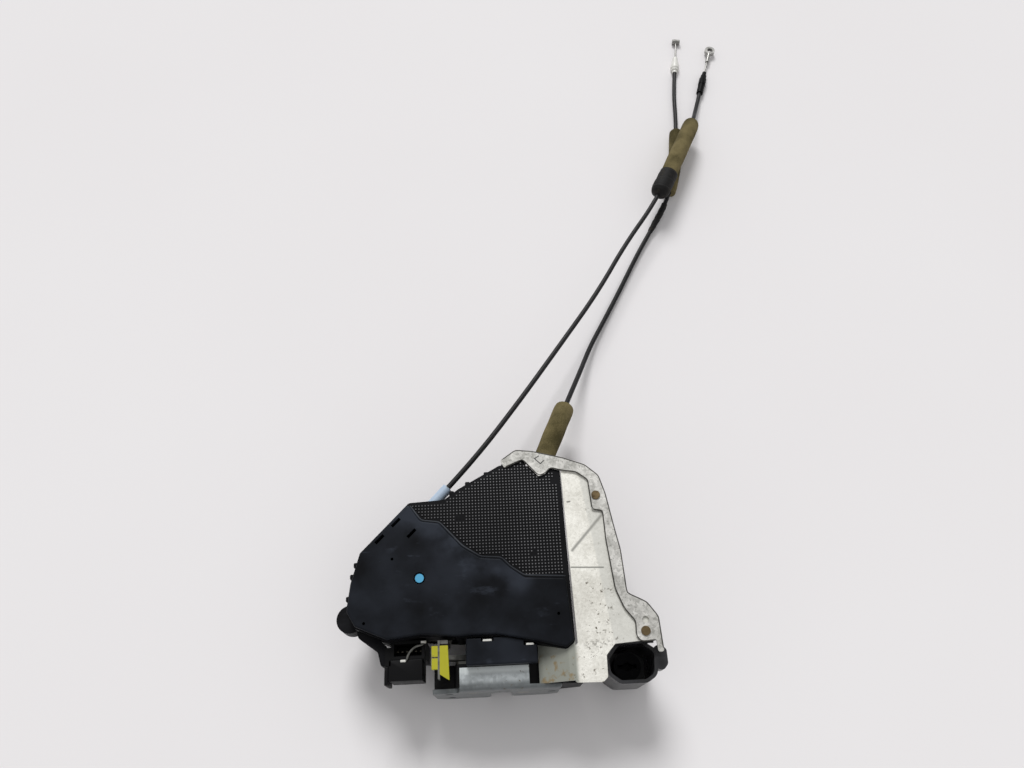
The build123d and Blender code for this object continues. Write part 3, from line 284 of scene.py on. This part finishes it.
foam = Finish("olive_foam", specular=0.15)
pores = foam.place.noise(1500.0, detail=2.0)
blotch = foam.place.noise(55.0, detail=4.0)
foam_tone = (0.75 * blotch + 0.25 * pores).step(0.32, 0.66)
foam.feed("Base Color", foam_tone.blend(paint(66, 60, 36), paint(120, 109, 76)))
foam.feed("Roughness", 0.86 + 0.1 * pores)
foam.relief(pores + 0.5 * foam.place.noise(500.0), 0.35 * MM, 0.7)


def skin(name, grid, material, loop=False):
    """Mesh through a grid of points, on the case's body. Each row of the grid is a closed ring; loop joins
    the last ring to the first, and otherwise each end gets a flat cap."""
    rows, columns = grid.shape[:2]
    here = np.arange(rows * columns).reshape(rows, columns)
    wide = np.hstack((here, here[:, :1]))
    tall = np.vstack((wide, wide[:1])) if loop else wide
    quads = np.stack((tall[:-1, :-1], tall[:-1, 1:], tall[1:, 1:], tall[1:, :-1]), axis=-1).reshape(-1, 4)
    faces = quads.tolist()
    if not loop:
        faces += [here[0][::-1].tolist(), here[-1].tolist()]
    mesh = bpy.data.meshes.new(name)
    mesh.from_pydata(grid.reshape(-1, 3).tolist(), [], faces)
    mesh.polygons.foreach_set("use_smooth", np.arange(len(faces)) < len(quads))
    mesh.set_sharp_from_angle(angle=SHARP_ANGLE)
    piece = bpy.data.objects.new(name, mesh)
    bpy.context.collection.objects.link(piece)
    material.dress(piece)
    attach(piece, "case")
    return piece


def around(line, radii, sides):
    """Rings of the given radii round each point of a line, square to its direction, and run so that the
    faces of skin() point outwards."""
    ahead = np.gradient(line, axis=0)
    ahead /= np.linalg.norm(ahead, axis=1)[:, None]
    side = np.cross(ahead, (0.0, 0.0, 1.0))
    side /= np.linalg.norm(side, axis=1)[:, None]
    rise = np.cross(side, ahead)
    turn = np.linspace(0, 2 * np.pi, sides, endpoint=False)
    ring = np.cos(turn)[None, :, None] * side[:, None, :] + np.sin(turn)[None, :, None] * rise[:, None, :]
    radii = np.broadcast_to(np.asarray(radii, dtype=float).reshape(len(line), -1), (len(line), sides))
    return (line[:, None, :] + ring * radii[..., None])[:, ::-1]


def sleeve(name, route, reach, outer, node):
    """Foam tube: a closed section, out along the outside and back along the bore, carried round the sheath.
    Two sines, along it and round it, dent the outside, and a twelfth power rounds off its ends."""
    line = stretch(route, *reach, SLEEVE_RINGS)
    share = np.linspace(0, 1, SLEEVE_RINGS)
    along = share[:, None]
    turn = np.linspace(0, 2 * np.pi, SLEEVE_SIDES, endpoint=False)
    dents = 1 - DENT_DEPTH * np.sin(9 * along + 2 * np.sin(turn)) * np.sin(2 * turn + 5 * along)
    rounding = 1 - END_ROUNDING * (2 * along - 1) ** 12
    outside = around(line, outer * dents * rounding, SLEEVE_SIDES)
    bore = around(line, np.full(SLEEVE_RINGS, SLEEVE_BORE_R), SLEEVE_SIDES)[::-1]
    piece = skin(name, np.vstack((outside, bore)), foam, loop=True)
    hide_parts(node)
    return piece


upper_foam = sleeve("upper_foam_sleeve", RELEASE_ROUTE, UPPER_FOAM, SLEEVE_R, "release_foam")
case_foam = sleeve("case_foam_sleeve", LOCK_ROUTE, CASE_FOAM, SLEEVE_R, "lock_foam_inner")
under_foam = sleeve("lower_foam_sleeve", LOCK_ROUTE, UNDER_FOAM, UNDER_SLEEVE_R, "lock_foam_outer")


# ---- Cloth tape ----
# Black cloth tape, wound on by hand: it closes the lower end of the upper sleeve, and binds the other
# sheath where the two cables rub. Each turn overlaps the one before, so the winding has a low spiral step.
TAPE_RINGS = 120
TAPE_SIDES = 48
# Share of a turn over which the winding climbs, before it drops to the turn below.
CLIMB = 0.9
# Where each winding lies on its sheath, in metres from the far ferrule, and its radii from end to end, in mm.
SLEEVE_WINDING = (-0.1475, -0.1215)
SLEEVE_WINDING_RADII = np.array((2.4, 6.2, 7.5, 7.8, 7.8, 7.7, 7.6, 7.6, 7.5, 7.5, 7.4)) * MM
SHEATH_WINDING = (-0.190, -0.160)
SHEATH_WINDING_RADII = np.array((2.0, 2.4, 2.5, 2.3)) * MM

tape = Finish("black_cloth_tape", specular=0.2)
weave = tape.place.node("TexVoronoi", {"feature": "F1"}, {"Vector": tape.place, "Scale": 2200.0})
lint = tape.place.noise(160.0, detail=4.0, roughness=0.6).step(0.55, 0.72)
tape.feed("Base Color", (0.5 * lint).blend(paint(22, 21, 21), paint(66, 62, 54)))
tape.feed("Roughness", 0.62 + 0.2 * lint)
tape.relief(weave + tape.place.noise(300.0), 0.15 * MM, 0.8)


def winding(name, route, reach, radii, pitch, step):
    """Tube whose radius runs through radii and also climbs by step once in each turn of a spiral."""
    start, end = reach
    line = stretch(route, start, end, TAPE_RINGS)
    share = np.linspace(0, 1, TAPE_RINGS)
    turn = np.linspace(0, 1, TAPE_SIDES, endpoint=False)
    spiral = np.mod(share[:, None] * abs(end - start) / pitch + turn, 1.0)
    climb = np.where(spiral < CLIMB, spiral / CLIMB, (1 - spiral) / (1 - CLIMB))
    base = np.interp(share, np.linspace(0, 1, len(radii)), radii)
    piece = skin(name, around(line, base[:, None] + step * climb, TAPE_SIDES), tape)
    return piece


sleeve_tape = winding("sleeve_tape", RELEASE_ROUTE, SLEEVE_WINDING, SLEEVE_WINDING_RADII,
                      pitch=9 * MM, step=0.35 * MM)
sheath_tape = winding("sheath_tape", LOCK_ROUTE, SHEATH_WINDING, SHEATH_WINDING_RADII,
                      pitch=7 * MM, step=0.3 * MM)


# ---- Moulded case ----
# Two shells and a front cover of black polyamide, injection moulded with a fine spark-eroded grain.
# Rubbed edges, dried splashes and handling scratches are a little greyer.
GRAIN_DEPTH = 0.03 * MM


def moulded(name, dark, pale, roughness=0.42, grain=700.0, specular=0.07, bloom=None):
    """Spark-eroded plastic: cloudy tone, fine grain, pale scratches drawn out along X, and a few smears.
    bloom takes the coordinates and gives a mask of where the plastic has turned grey."""
    made = Finish(name, specular=specular)
    cloud = made.place.noise(26.0, detail=5.0)
    rub = made.place.stretched(0.25, 1.0, 1.0).noise(310.0, detail=4.0, roughness=0.6).step(0.66, 0.74)
    smear = made.place.stretched(1.0, 2.2, 1.0).noise(34.0, detail=6.0, roughness=0.65).step(0.58, 0.72)
    share = 0.6 * cloud.step(0.3, 0.7) + 0.5 * rub + 0.7 * smear
    share = share + bloom(made.place) if bloom else share
    made.feed("Base Color", share.maths("MINIMUM", 1.0).blend(dark, pale))
    made.feed("Roughness", roughness + 0.14 * made.place.noise(90.0, detail=4.0) + 0.08 * rub + 0.1 * smear)
    made.relief(made.place.noise(grain, detail=2.0), GRAIN_DEPTH, 0.5)
    return made


def mm(*values):
    """Metres of those values in mm."""
    return tuple(value * MM for value in values)


def cover_bloom(place):
    """Greyer along the cover's step, where it gets handled."""
    handled = (place.near(mm(-52, 32), mm(-18, 6), 17 * MM)
               + place.near(mm(-18, 6), mm(12, -12), 13 * MM))
    return 0.9 * handled * place.noise(45.0, detail=4.0).step(0.3, 0.6)


case_black = moulded("black_case_moulding", paint(11, 11, 13), paint(30, 30, 33))
case_black.dress("main_case", "rear_cover", "motor_bearing")
cover_black = moulded("satin_cover_moulding", paint(9, 10, 13), paint(44, 48, 56), roughness=0.36, grain=1300.0,
                      bloom=cover_bloom)
cover_black.dress("front_cover", "latch_top_cover")
body_black = moulded("glass_filled_moulding", paint(10, 10, 11), paint(28, 28, 29), roughness=0.36, grain=500.0)
body_black.dress("latch_body", "latch_liner", "connector_shell", "lock_gland", "release_end_ferrule")
funnel_black = moulded("polished_funnel_moulding", paint(30, 30, 31), paint(62, 62, 65), roughness=0.22,
                       grain=500.0, specular=0.3)
funnel_black.dress("key_funnel")
rotor_black = moulded("rotor_moulding", paint(16, 16, 18), paint(38, 38, 41), roughness=0.45, grain=600.0)
rotor_black.dress("key_rotor", "ratchet_overmould", "mouth_bumper")
# Pale plastic for the cover step's bead: a painted highlight.
step_highlight_black = moulded("painted_step_highlight", paint(40, 42, 46), paint(92, 96, 102), roughness=0.4)


# ---- Cover step ----
# The front cover drops to the waffled panel by a step, which is moulded with it. Its edge is rounded off, and a
# low pale bead follows it as a painted highlight of the rounding.
BEAD_SPACING = 1.0 * MM
BEAD_SIDES = 12
BEAD_PASSES = 3
BEAD_TAPER_POINTS = 2.0
LEAST_TAPER = 0.05
STEP_Z = 58.95
STEP_BEAD_R = 0.5
STEP = ((41.7, -10.9), (16.6, -9.2), (8.5, -3.5), (3.1, 2.4), (-9.6, 3.4), (-20.7, 10.6), (-34.8, 26.2),
        (-46.4, 27.9), (-53.6, 37.9))


def run_through(points, spacing):
    """Evenly spaced points along straight runs between the given ones."""
    travel = np.concatenate(((0,), np.cumsum(np.linalg.norm(np.diff(points, axis=0), axis=1))))
    even = np.linspace(0, travel[-1], int(travel[-1] / spacing) + 2)
    return np.column_stack([np.interp(even, travel, points[:, axis]) for axis in range(3)])


def bead(name, corners, z, radius, material):
    """Round bead at height z through corners, all in mm. Weights of 1, 2 and 1 smooth its line, and its
    radius grows from both ends as the square root of the distance."""
    points = np.column_stack((np.array(corners), np.full(len(corners), z))) * MM
    line = run_through(points, BEAD_SPACING)
    for _ in range(BEAD_PASSES):
        line[1:-1] = (line[:-2] + 2 * line[1:-1] + line[2:]) / 4
    from_end = np.minimum(np.arange(len(line)), np.arange(len(line))[::-1])
    taper = np.sqrt(np.clip(from_end / BEAD_TAPER_POINTS, LEAST_TAPER, 1.0))
    return skin(name, around(line, radius * MM * taper, BEAD_SIDES), material)


step_bead = bead("cover_step_bead", STEP, STEP_Z, STEP_BEAD_R, step_highlight_black)


# ---- Webs, hood and rest ----
# Small blocks moulded in one with the case, the latch body or the connector: a web over the case's lower
# corner, the connector's hood and the tip of its fin, and a rest under the guard frame's upper end.
BLOCK_LIP = 0.35
ARC_POINTS = 7
WEB = ((-86.0, -36.0), (-84.6, -40.2), (-72.6, -48.9), (-70.6, -56.9), (-68.3, -56.9), (-68.3, -45.0),
       (-76.0, -38.0))
HOOD = ((-66.2, -65.5), (-46.2, -65.5), (-46.2, -53.7), (-66.2, -53.7))
FIN_TIP = ((-68.5, -67.6), (-66.4, -67.6), (-66.4, -57.2), (-68.5, -57.2))
FRAME_REST = ((10.0, 57.4), (21.0, 61.0), (22.0, 68.4), (14.4, 71.0), (6.2, 65.0), (3.4, 60.2))


def block(name, corners, foot, top, rounding, material):
    """Upright block from foot to top on an outline of corners, all in mm and counterclockwise. Each corner is
    a quadratic Bezier arc that starts and ends rounding away from it, and a narrow lip breaks the upper and
    lower edges."""
    corners = np.array(corners)
    before, after = np.roll(corners, 1, axis=0) - corners, np.roll(corners, -1, axis=0) - corners
    before /= np.linalg.norm(before, axis=1)[:, None]
    after /= np.linalg.norm(after, axis=1)[:, None]
    share = np.linspace(0, 1, ARC_POINTS)[None, :, None]
    first, last = corners + rounding * before, corners + rounding * after
    edge = (first[:, None] * (1 - share) ** 2 + 2 * corners[:, None] * share * (1 - share)
            + last[:, None] * share ** 2).reshape(-1, 2)
    middle = edge.mean(axis=0)
    inward = (middle - edge) / np.linalg.norm(edge - middle, axis=1)[:, None]
    levels = ((BLOCK_LIP, foot), (0, foot + BLOCK_LIP), (0, top - BLOCK_LIP),
              (0.3 * BLOCK_LIP, top - 0.3 * BLOCK_LIP), (BLOCK_LIP, top))
    rings = [np.column_stack((edge + inset * inward, np.full(len(edge), z))) for inset, z in levels]
    return skin(name, np.array(rings) * MM, material)


corner_web = block("case_corner_web", WEB, foot=41.0, top=49.5, rounding=1.0, material=case_black)
connector_hood = block("connector_hood", HOOD, foot=27.0, top=50.0, rounding=0.8, material=body_black)
fin_tip = block("connector_fin_tip", FIN_TIP, foot=30.0, top=50.0, rounding=0.5, material=body_black)
frame_rest = block("frame_rest", FRAME_REST, foot=46.0, top=55.9, rounding=1.2, material=case_black)


# ---- Rim stops ----
# Blunt square stops moulded along the case's rim, which the rear cover snaps behind.
# Each stands proud of the rim by a couple of millimetres.
STOP_HALF_WIDTH = 1.6
STOP_DEPTH = 9.0
STOP_ROUNDING = 1.0
STOP_TOP = 50.0
RIM_STOPS = ((-87.6, 3.6), (-89.6, -3.6), (-91.5, -17.0), (-17.2, 53.4), (-4.8, 59.6), (-27.6, 47.6))
SQUARE = np.array(((-1, -1), (1, -1), (1, 1), (-1, 1)))

for number, middle in enumerate(RIM_STOPS, start=1):
    stop = block(f"rim_stop_{number}", np.array(middle) + STOP_HALF_WIDTH * SQUARE, foot=STOP_TOP - STOP_DEPTH,
                 top=STOP_TOP, rounding=STOP_ROUNDING, material=case_black)


# ---- Waffled panel ----
# The case's upper face is moulded with rows of small blunt pyramids on a 2 mm pitch, which hide sink marks.
# Their rubbed tips are paler. Two ejector discs and a small ring interrupt them.
WAFFLE_PITCH = 2.0 * MM
WAFFLE_BASE = 1.72 * MM
WAFFLE_TOP = 0.55 * MM
WAFFLE_HEIGHT = 0.45 * MM
# Steps of the pitch, from the frame's origin, that the panel spans.
WAFFLE_COLUMNS = np.arange(-30, 22)
WAFFLE_ROWS = np.arange(-6, 35)
PANEL_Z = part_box("guard_plate")[1][2]
PANEL_EDGE = np.array((
    (41.2, 55.0), (36.0, 57.6), (33.4, 54.4), (29.3, 52.8), (22.8, 59.6), (18.6, 64.4), (8.6, 60.4),
    (4.6, 61.4), (-22.0, 46.6), (-31.4, 39.9), (-53.2, 39.0), (-45.8, 30.0), (-34.2, 27.9),
    (-19.8, 12.2), (-9.2, 5.2), (3.8, 4.0), (9.6, -2.2), (17.4, -8.0), (41.2, -9.2))) * MM
# Middle and radius of each disc or ring, in mm.
DISCS = np.array(((-21.7, 29.1, 2.9), (40.4, 51.4, 2.9), (23.1, 4.7, 1.6))) * MM
# Keeps the division by an edge's rise finite where the edge is level.
TINY_RISE = 1e-12


def inside(corners, x, y):
    """True where a ray from the point along X crosses the outline an odd number of times."""
    hit = np.zeros(x.shape, dtype=bool)
    for (x0, y0), (x1, y1) in zip(corners, np.roll(corners, -1, axis=0)):
        crosses = (y0 > y) != (y1 > y)
        hit ^= crosses & (x < (x1 - x0) * (y - y0) / (y1 - y0 + TINY_RISE) + x0)
    return hit


def pyramids(name, x, y, material):
    """One blunt pyramid on each point x, y of the panel: a wide base, a narrow top, and no bottom face."""
    middle = np.column_stack((x, y))[:, None, :]
    low = np.dstack((middle + SQUARE / 2 * WAFFLE_BASE, np.full((len(x), 4), PANEL_Z)))
    high = np.dstack((middle + SQUARE / 2 * WAFFLE_TOP, np.full((len(x), 4), PANEL_Z + WAFFLE_HEIGHT)))
    points = np.concatenate((low, high), axis=1)
    side = np.array(((0, 1, 5, 4), (1, 2, 6, 5), (2, 3, 7, 6), (3, 0, 4, 7), (4, 5, 6, 7)))
    faces = side[None] + 8 * np.arange(len(x))[:, None, None]
    mesh = bpy.data.meshes.new(name)
    mesh.from_pydata(points.reshape(-1, 3).tolist(), [], faces.reshape(-1, 4).tolist())
    piece = bpy.data.objects.new(name, mesh)
    bpy.context.collection.objects.link(piece)
    material.dress(piece)
    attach(piece, "case")
    return piece


grid_x, grid_y = np.meshgrid(WAFFLE_COLUMNS * WAFFLE_PITCH, WAFFLE_ROWS * WAFFLE_PITCH)
keep = inside(PANEL_EDGE, grid_x, grid_y)
for x, y, r in DISCS:
    keep &= np.hypot(grid_x - x, grid_y - y) > r
waffle_black = Finish("waffle_moulding", specular=0.2)
across, along, height = waffle_black.place.split()
tip = (height - PANEL_Z).step(0.7 * WAFFLE_HEIGHT, 0.98 * WAFFLE_HEIGHT)
patch = waffle_black.place.noise(28.0).step(0.3, 0.7)
worn = 0.3 + 0.3 * patch + 0.4 * (across + along).step(-60 * MM, 90 * MM)
waffle_black.feed("Base Color", (tip * worn).blend(paint(13, 13, 15), paint(126, 126, 128)))
waffle_black.feed("Roughness", 0.42 + 0.1 * patch)
waffle = pyramids("waffle", grid_x[keep], grid_y[keep], waffle_black)


# ---- Steel ----
# Base plate, levers and guard are pressed from sheet and zinc plated; the guard's sheet is galvanised
# and shows fine spangle, dark specks of grime and faint wipe marks.
def zinc(name, dark, pale, roughness, speck=0.5, spangle=500.0, marks=None, metallic=0.8):
    """Plated sheet: cloudy spangle in tone and roughness, with small dark specks. marks takes the
    coordinates and gives a list of pairs: a mask, and the tone painted there, which on some sheets is painted
    shade or highlight."""
    made = Finish(name, metallic=metallic)
    cells = made.place.node("TexVoronoi", {"feature": "F1"}, {"Vector": made.place, "Scale": spangle}, output=1)
    flake = cells.node("SeparateColor", None, {"Color": cells}, output=0)
    cloud = made.place.noise(45.0, detail=5.0, roughness=0.6)
    fleck = made.place.noise(420.0, roughness=0.6).step(0.6, 0.72)
    grime = fleck * made.place.noise(30.0, detail=2.0).step(0.42, 0.6)
    tone = (0.35 * flake + 0.65 * cloud.step(0.25, 0.75)).blend(dark, pale)
    for mask, colour in (marks(made.place) if marks else ()):
        tone = mask.blend(tone, colour)
    made.feed("Base Color", (speck * grime).blend(tone, paint(92, 84, 70)))
    made.feed("Roughness", roughness + 0.12 * flake + 0.25 * grime)
    made.relief(made.place.noise(600.0), 0.04 * MM, 0.5)
    return made


def guard_marks(place):
    """The folded slope at the left, painted darker as shade, the smooth strip at the right, and painted shade
    along a pressed groove and a crease.
    """
    x, y, _ = place.split()
    shaded_slope = x.step(46.5 * MM, 43.5 * MM) * y.step(-46.5 * MM, -47.5 * MM)
    stain = place.noise(140.0, detail=5.0, roughness=0.65).step(0.52, 0.66)
    strip = (x + 0.12 * y).step(61 * MM, 62.5 * MM)
    rubbed = place.near(mm(52, -51), mm(64, -50), 3.5 * MM) * place.noise(500.0, detail=4.0).step(0.46, 0.6)
    groove_shade = place.near(mm(67.4, 26.8), mm(47.2, 5.3), 1.6 * MM)
    grit = place.noise(1500.0, detail=4.0, roughness=0.7).step(0.5, 0.68)
    crease_shade = place.near(mm(45.7, -5.2), mm(65.4, -6.1), 0.8 * MM)
    smudge = place.near(mm(46.5, 36.5), mm(52.5, 36.9), 0.9 * MM)
    # Painted shade: the folded slope and the lines of the groove and the crease are darker than the sheet; the
    # stain on the slope is dirt.
    return ((0.35 * grit, paint(150, 148, 140)),
            (strip * 0.55, paint(196, 196, 190)),
            (shaded_slope, paint(146, 148, 139)),
            (shaded_slope * stain, paint(136, 120, 90)),
            (groove_shade, paint(150, 149, 143)),
            (crease_shade, paint(120, 120, 114)),
            (smudge * stain, paint(96, 94, 88)),
            (0.6 * rubbed, paint(84, 78, 66)))


def frame_marks(place):
    """A tab lanced on three sides near the top, and fine pitting."""
    tab = mm(27.3, 66.2), mm(30.9, 62.6)
    slits = (place.near(*tab, 0.55 * MM), place.near(tab[0], mm(30.0, 67.9), 0.55 * MM),
             place.near(tab[1], mm(33.2, 64.6), 0.55 * MM))
    pitting = place.noise(900.0, roughness=0.6).step(0.56, 0.68)
    return ((0.55 * pitting, paint(92, 90, 84)), *[(slit.step(0.2, 0.6), paint(26, 26, 26)) for slit in slits])


def flange_shade_and_highlight(place):
    """Painted shade: the sheet darkens towards the bend along the latch face. Painted highlight: a bright band
    behind the bend.
    """
    _, y, _ = place.split()
    return ((0.75 * y.step(-66.5 * MM, -70.5 * MM), paint(70, 74, 75)),
            (0.8 * y.step(-64.5 * MM, -62.0 * MM), paint(214, 220, 220)))


galvanised = zinc("galvanised_sheet", paint(206, 203, 193), paint(252, 250, 242), roughness=0.38, speck=1.0,
                  spangle=900.0, marks=guard_marks, metallic=0.15)
galvanised.dress("guard_plate")
grey_zinc = zinc("grey_zinc_sheet", paint(140, 139, 133), paint(234, 232, 227), roughness=0.38, speck=0.8,
                 spangle=620.0, marks=frame_marks, metallic=0.3)
grey_zinc.dress("guard_frame")
# The base plate carries painted shade at the bend along the latch face and a painted highlight behind it.
bright_zinc = zinc("bright_zinc_plate", paint(144, 149, 151), paint(200, 206, 208), roughness=0.28, speck=0.9,
                   marks=flange_shade_and_highlight, metallic=0.5)
bright_zinc.dress("base_plate")
lever_zinc = zinc("lever_zinc", paint(92, 92, 88), paint(138, 138, 134), roughness=0.32, speck=0.8)
lever_zinc.dress("back_plate", "open_lever", "release_lever", "link_lever", "cover_screws")
turned_steel = zinc("greased_steel", paint(118, 116, 110), paint(165, 163, 158), roughness=0.3, speck=0.8,
                    spangle=60.0)
turned_steel.dress("ratchet", "pawl", "ratchet_pin", "pawl_pin", "release_lever_pin", "link_lever_pin",
                   "motor_worm", "lock_motor")
blade_tin = zinc("dull_tinned_blade", paint(70, 67, 58), paint(112, 108, 96), roughness=0.4, spangle=60.0)
blade_tin.dress("connector_terminals")
wire_steel = zinc("stranded_wire", paint(120, 119, 115), paint(176, 175, 172), roughness=0.3, speck=0.4)
wire_steel.dress("release_wire_inner", "lock_wire_inner", "release_wire_outer", "lock_wire_outer")


# ---- Frame edges and rivets ----
# The guard frame is sheared from sheet with its edges turned down; a dark bead along each side is painted
# shadow of the turned-down edge.
# Two tarnished rivets hold it to the guard plate.
FRAME_EDGE_Z = 57.15
FRAME_EDGE_R = 0.42
FRAME_OUTER_EDGE = (
    (5.4, 66.0), (15.0, 72.7), (25.7, 71.3), (45.0, 66.1), (59.5, 60.5), (67.7, 52.9), (71.0, 40.5),
    (74.5, 17.6), (76.8, 4.4), (78.0, -22.4), (89.3, -28.3), (95.2, -37.0), (95.9, -56.0))
FRAME_INNER_EDGE = (
    (92.6, -50.4), (83.5, -50.7), (80.9, -47.6), (81.5, -39.0), (75.6, -31.3), (71.3, -19.5),
    (68.6, 10.6), (68.3, 29.7), (61.8, 30.6), (60.7, 50.6), (53.3, 56.3), (45.2, 57.5), (37.0, 59.8),
    (33.6, 56.1), (29.3, 54.6), (23.8, 61.1), (19.3, 66.3), (7.3, 61.3))
# Dark zinc for the beads: painted shadow along the frame's turned-down edges.
edge_shadow_zinc = zinc("painted_frame_edge_shadow", paint(52, 51, 48), paint(98, 96, 92), roughness=0.45, speck=0.7, spangle=620.0)
for name, line in (("frame_outer_edge", FRAME_OUTER_EDGE), ("frame_inner_edge", FRAME_INNER_EDGE)):
    bead(name, line, FRAME_EDGE_Z, FRAME_EDGE_R, edge_shadow_zinc)
rivet_steel = zinc("tarnished_rivet", paint(58, 46, 28), paint(128, 110, 80), roughness=0.4, speck=0.9)
rivet_steel.dress("guard_rivets")


# ---- Spring leg ----
# A leg of the lock lever's wire spring shows through the gap behind the connector.
# It is round zinc plated wire, hooked over a post.
LEG_Z = 50.7
LEG_R = 0.75
LEG = ((-55.6, -54.6), (-54.2, -50.2), (-50.6, -46.6), (-45.2, -45.6))
spring_leg = bead("connector_spring_leg", LEG, LEG_Z, LEG_R, lever_zinc)


# ---- Acetal pieces ----
# Levers, wheel, ferrules and clips that slide on plastic are moulded in coloured or natural acetal.
# The material is waxy and picks up a little yellowish dust.
def acetal(name, dark, pale, roughness=0.3):
    """Waxy plastic: slight cloud in tone, a little dust in the corners, and a soft gloss."""
    made = Finish(name, specular=0.45)
    cloud = made.place.noise(60.0, detail=4.0)
    dust = made.place.noise(240.0, detail=4.0, roughness=0.6).step(0.6, 0.75)
    made.feed("Base Color", (0.5 * dust).blend(cloud.blend(dark, pale), paint(120, 112, 60)))
    made.feed("Roughness", roughness + 0.12 * cloud + 0.15 * dust)
    made.relief(made.place.noise(500.0, detail=2.0), 0.03 * MM, 0.4)
    return made


yellow = acetal("yellow_acetal", paint(150, 146, 14), paint(182, 178, 34))
yellow.dress("open_lever_clip")
blue = acetal("blue_acetal", paint(58, 146, 190), paint(92, 176, 212))
blue.dress("lock_lever")
natural = acetal("natural_acetal", paint(206, 205, 198), paint(232, 231, 226))
natural.dress("worm_wheel", "lock_end_ferrule")
pale_blue = acetal("pale_blue_ferrule", paint(158, 176, 198), paint(186, 202, 219), roughness=0.4)
pale_blue.dress("release_gland")


# ---- Catches ----
# Snap catches of the latch module, in natural acetal, show in the covers' slots as small rounded blocks.
# They are moulded with the module and hold the covers on.
CATCH_SIDES = 24
CATCH_HALF_WIDTH = 0.75
# Middle, length along X, and top of each, in mm.
CATCHES = ((-7.3, -45.9, 5.4, 56.9), (17.8, -49.1, 4.6, 56.9), (-45.5, -44.2, 3.2, 50.9),
           (-57.6, -54.4, 3.2, 50.4))
# Share of the full outline, and depth below the top in mm, of each ring.
CATCH_RINGS = ((0.7, 2.0), (1.0, 1.7), (1.0, 0.35), (0.7, 0.0))


def catch(name, x, y, length, top):
    """Rounded block, long in X: rings that shrink towards its top and its foot. Each ring is a
    superellipse, with the powers 0.35 on the cosine and 0.5 on the sine."""
    turn = np.linspace(0, 2 * np.pi, CATCH_SIDES, endpoint=False)
    across = np.sign(np.cos(turn)) * np.abs(np.cos(turn)) ** 0.35 * length / 2
    deep = np.sign(np.sin(turn)) * np.abs(np.sin(turn)) ** 0.5 * CATCH_HALF_WIDTH
    rings = [np.column_stack((x + across * share, y + deep * share, np.full(CATCH_SIDES, top - depth)))
             for share, depth in CATCH_RINGS]
    skin(name, np.array(rings) * MM, natural)


for number, place in enumerate(CATCHES, start=1):
    catch(f"catch_{number}", *place)


# ---- Cable ends ----
# Beyond its ferrule the release cable has a slimmer black guide, which the wire slides through. The lock
# cable's ferrule carries a thicker grip of natural acetal, with a flat underneath, which snaps into its
# bracket.
TUBE_SIDES = 32
# Where each tube starts beyond the sheath's end, its length and its bore's radius.
GUIDE_START, GUIDE_LENGTH, GUIDE_BORE_R = 11.0 * MM, 16.5 * MM, 1.1 * MM
GRIP_START, GRIP_LENGTH, GRIP_BORE_R = 3.0 * MM, 11.0 * MM, 2.42 * MM
# Share of the length, and outer radius there in mm, of each ring.
GUIDE_RINGS = ((0, 3.3), (0.45, 3.3), (0.5, 2.64), (0.72, 2.64), (0.76, 2.046), (1.0, 1.815))
GRIP_RINGS = ((0, 3.3), (0.2, 3.5), (0.25, 4.0), (0.6, 4.0), (0.65, 3.4), (1.0, 3.1))


def end_tube(name, route, start, length, rings, bore, material):
    """Straight tube past a sheath's end, out along its outside and back along its bore. It is cut off flat
    where it would go below the table."""
    aim = route[-1] - route[-2]
    aim /= np.linalg.norm(aim)
    shares, radii = np.array(rings).T
    line = route[-1] + np.outer(start + shares * length, aim)
    outside = around(line, radii * MM, TUBE_SIDES)
    outside[..., 2] = np.maximum(outside[..., 2], 0.0)
    hollow = around(line, np.full(len(rings), bore), TUBE_SIDES)[::-1]
    return skin(name, np.vstack((outside, hollow)), material, loop=True)


guide = end_tube("release_end_guide", RELEASE_ROUTE, GUIDE_START, GUIDE_LENGTH, GUIDE_RINGS, GUIDE_BORE_R,
                 body_black)
grip = end_tube("lock_end_grip", LOCK_ROUTE, GRIP_START, GRIP_LENGTH, GRIP_RINGS, GRIP_BORE_R, natural)


# ---- Stage ----
# A plain pale table stands under soft light from all round, with one broad, even light from above and behind.
# It is matt, so the latch keeps a soft shadow and no reflection.
TABLE_REACH = 3.0
TABLE_Z = -0.2 * MM
ROOM_LIGHT = 0.5
BROAD_LIGHT = 2.05
BROAD_LIGHT_ANGLE = math.radians(24.0)
BROAD_LIGHT_TURN = (math.radians(-44), math.radians(-8), 0.0)

table = bpy.data.meshes.new("table")
table.from_pydata([(x, y, TABLE_Z) for x, y in (TABLE_REACH * SQUARE).tolist()], [], [(0, 1, 2, 3)])
floor = bpy.data.objects.new("table", table)
bpy.context.collection.objects.link(floor)
table_top = Finish("pale_table", specular=0.1)
table_top.feed("Base Color", table_top.place.noise(3.0).blend(paint(234, 231, 232), paint(238, 236, 237)))
table_top.feed("Roughness", 0.7 + 0.1 * table_top.place.noise(40.0))
table_top.dress(floor)
world = bpy.data.worlds.new("room")
bpy.context.scene.world = world
world.use_nodes = True
background = world.node_tree.nodes["Background"]
background.inputs["Color"].default_value = (1.0, 1.0, 1.0, 1.0)
background.inputs["Strength"].default_value = ROOM_LIGHT
light = bpy.data.lights.new("broad_light", "SUN")
light.energy = BROAD_LIGHT
light.angle = BROAD_LIGHT_ANGLE
lamp = bpy.data.objects.new("broad_light", light)
bpy.context.collection.objects.link(lamp)
lamp.rotation_euler = BROAD_LIGHT_TURN
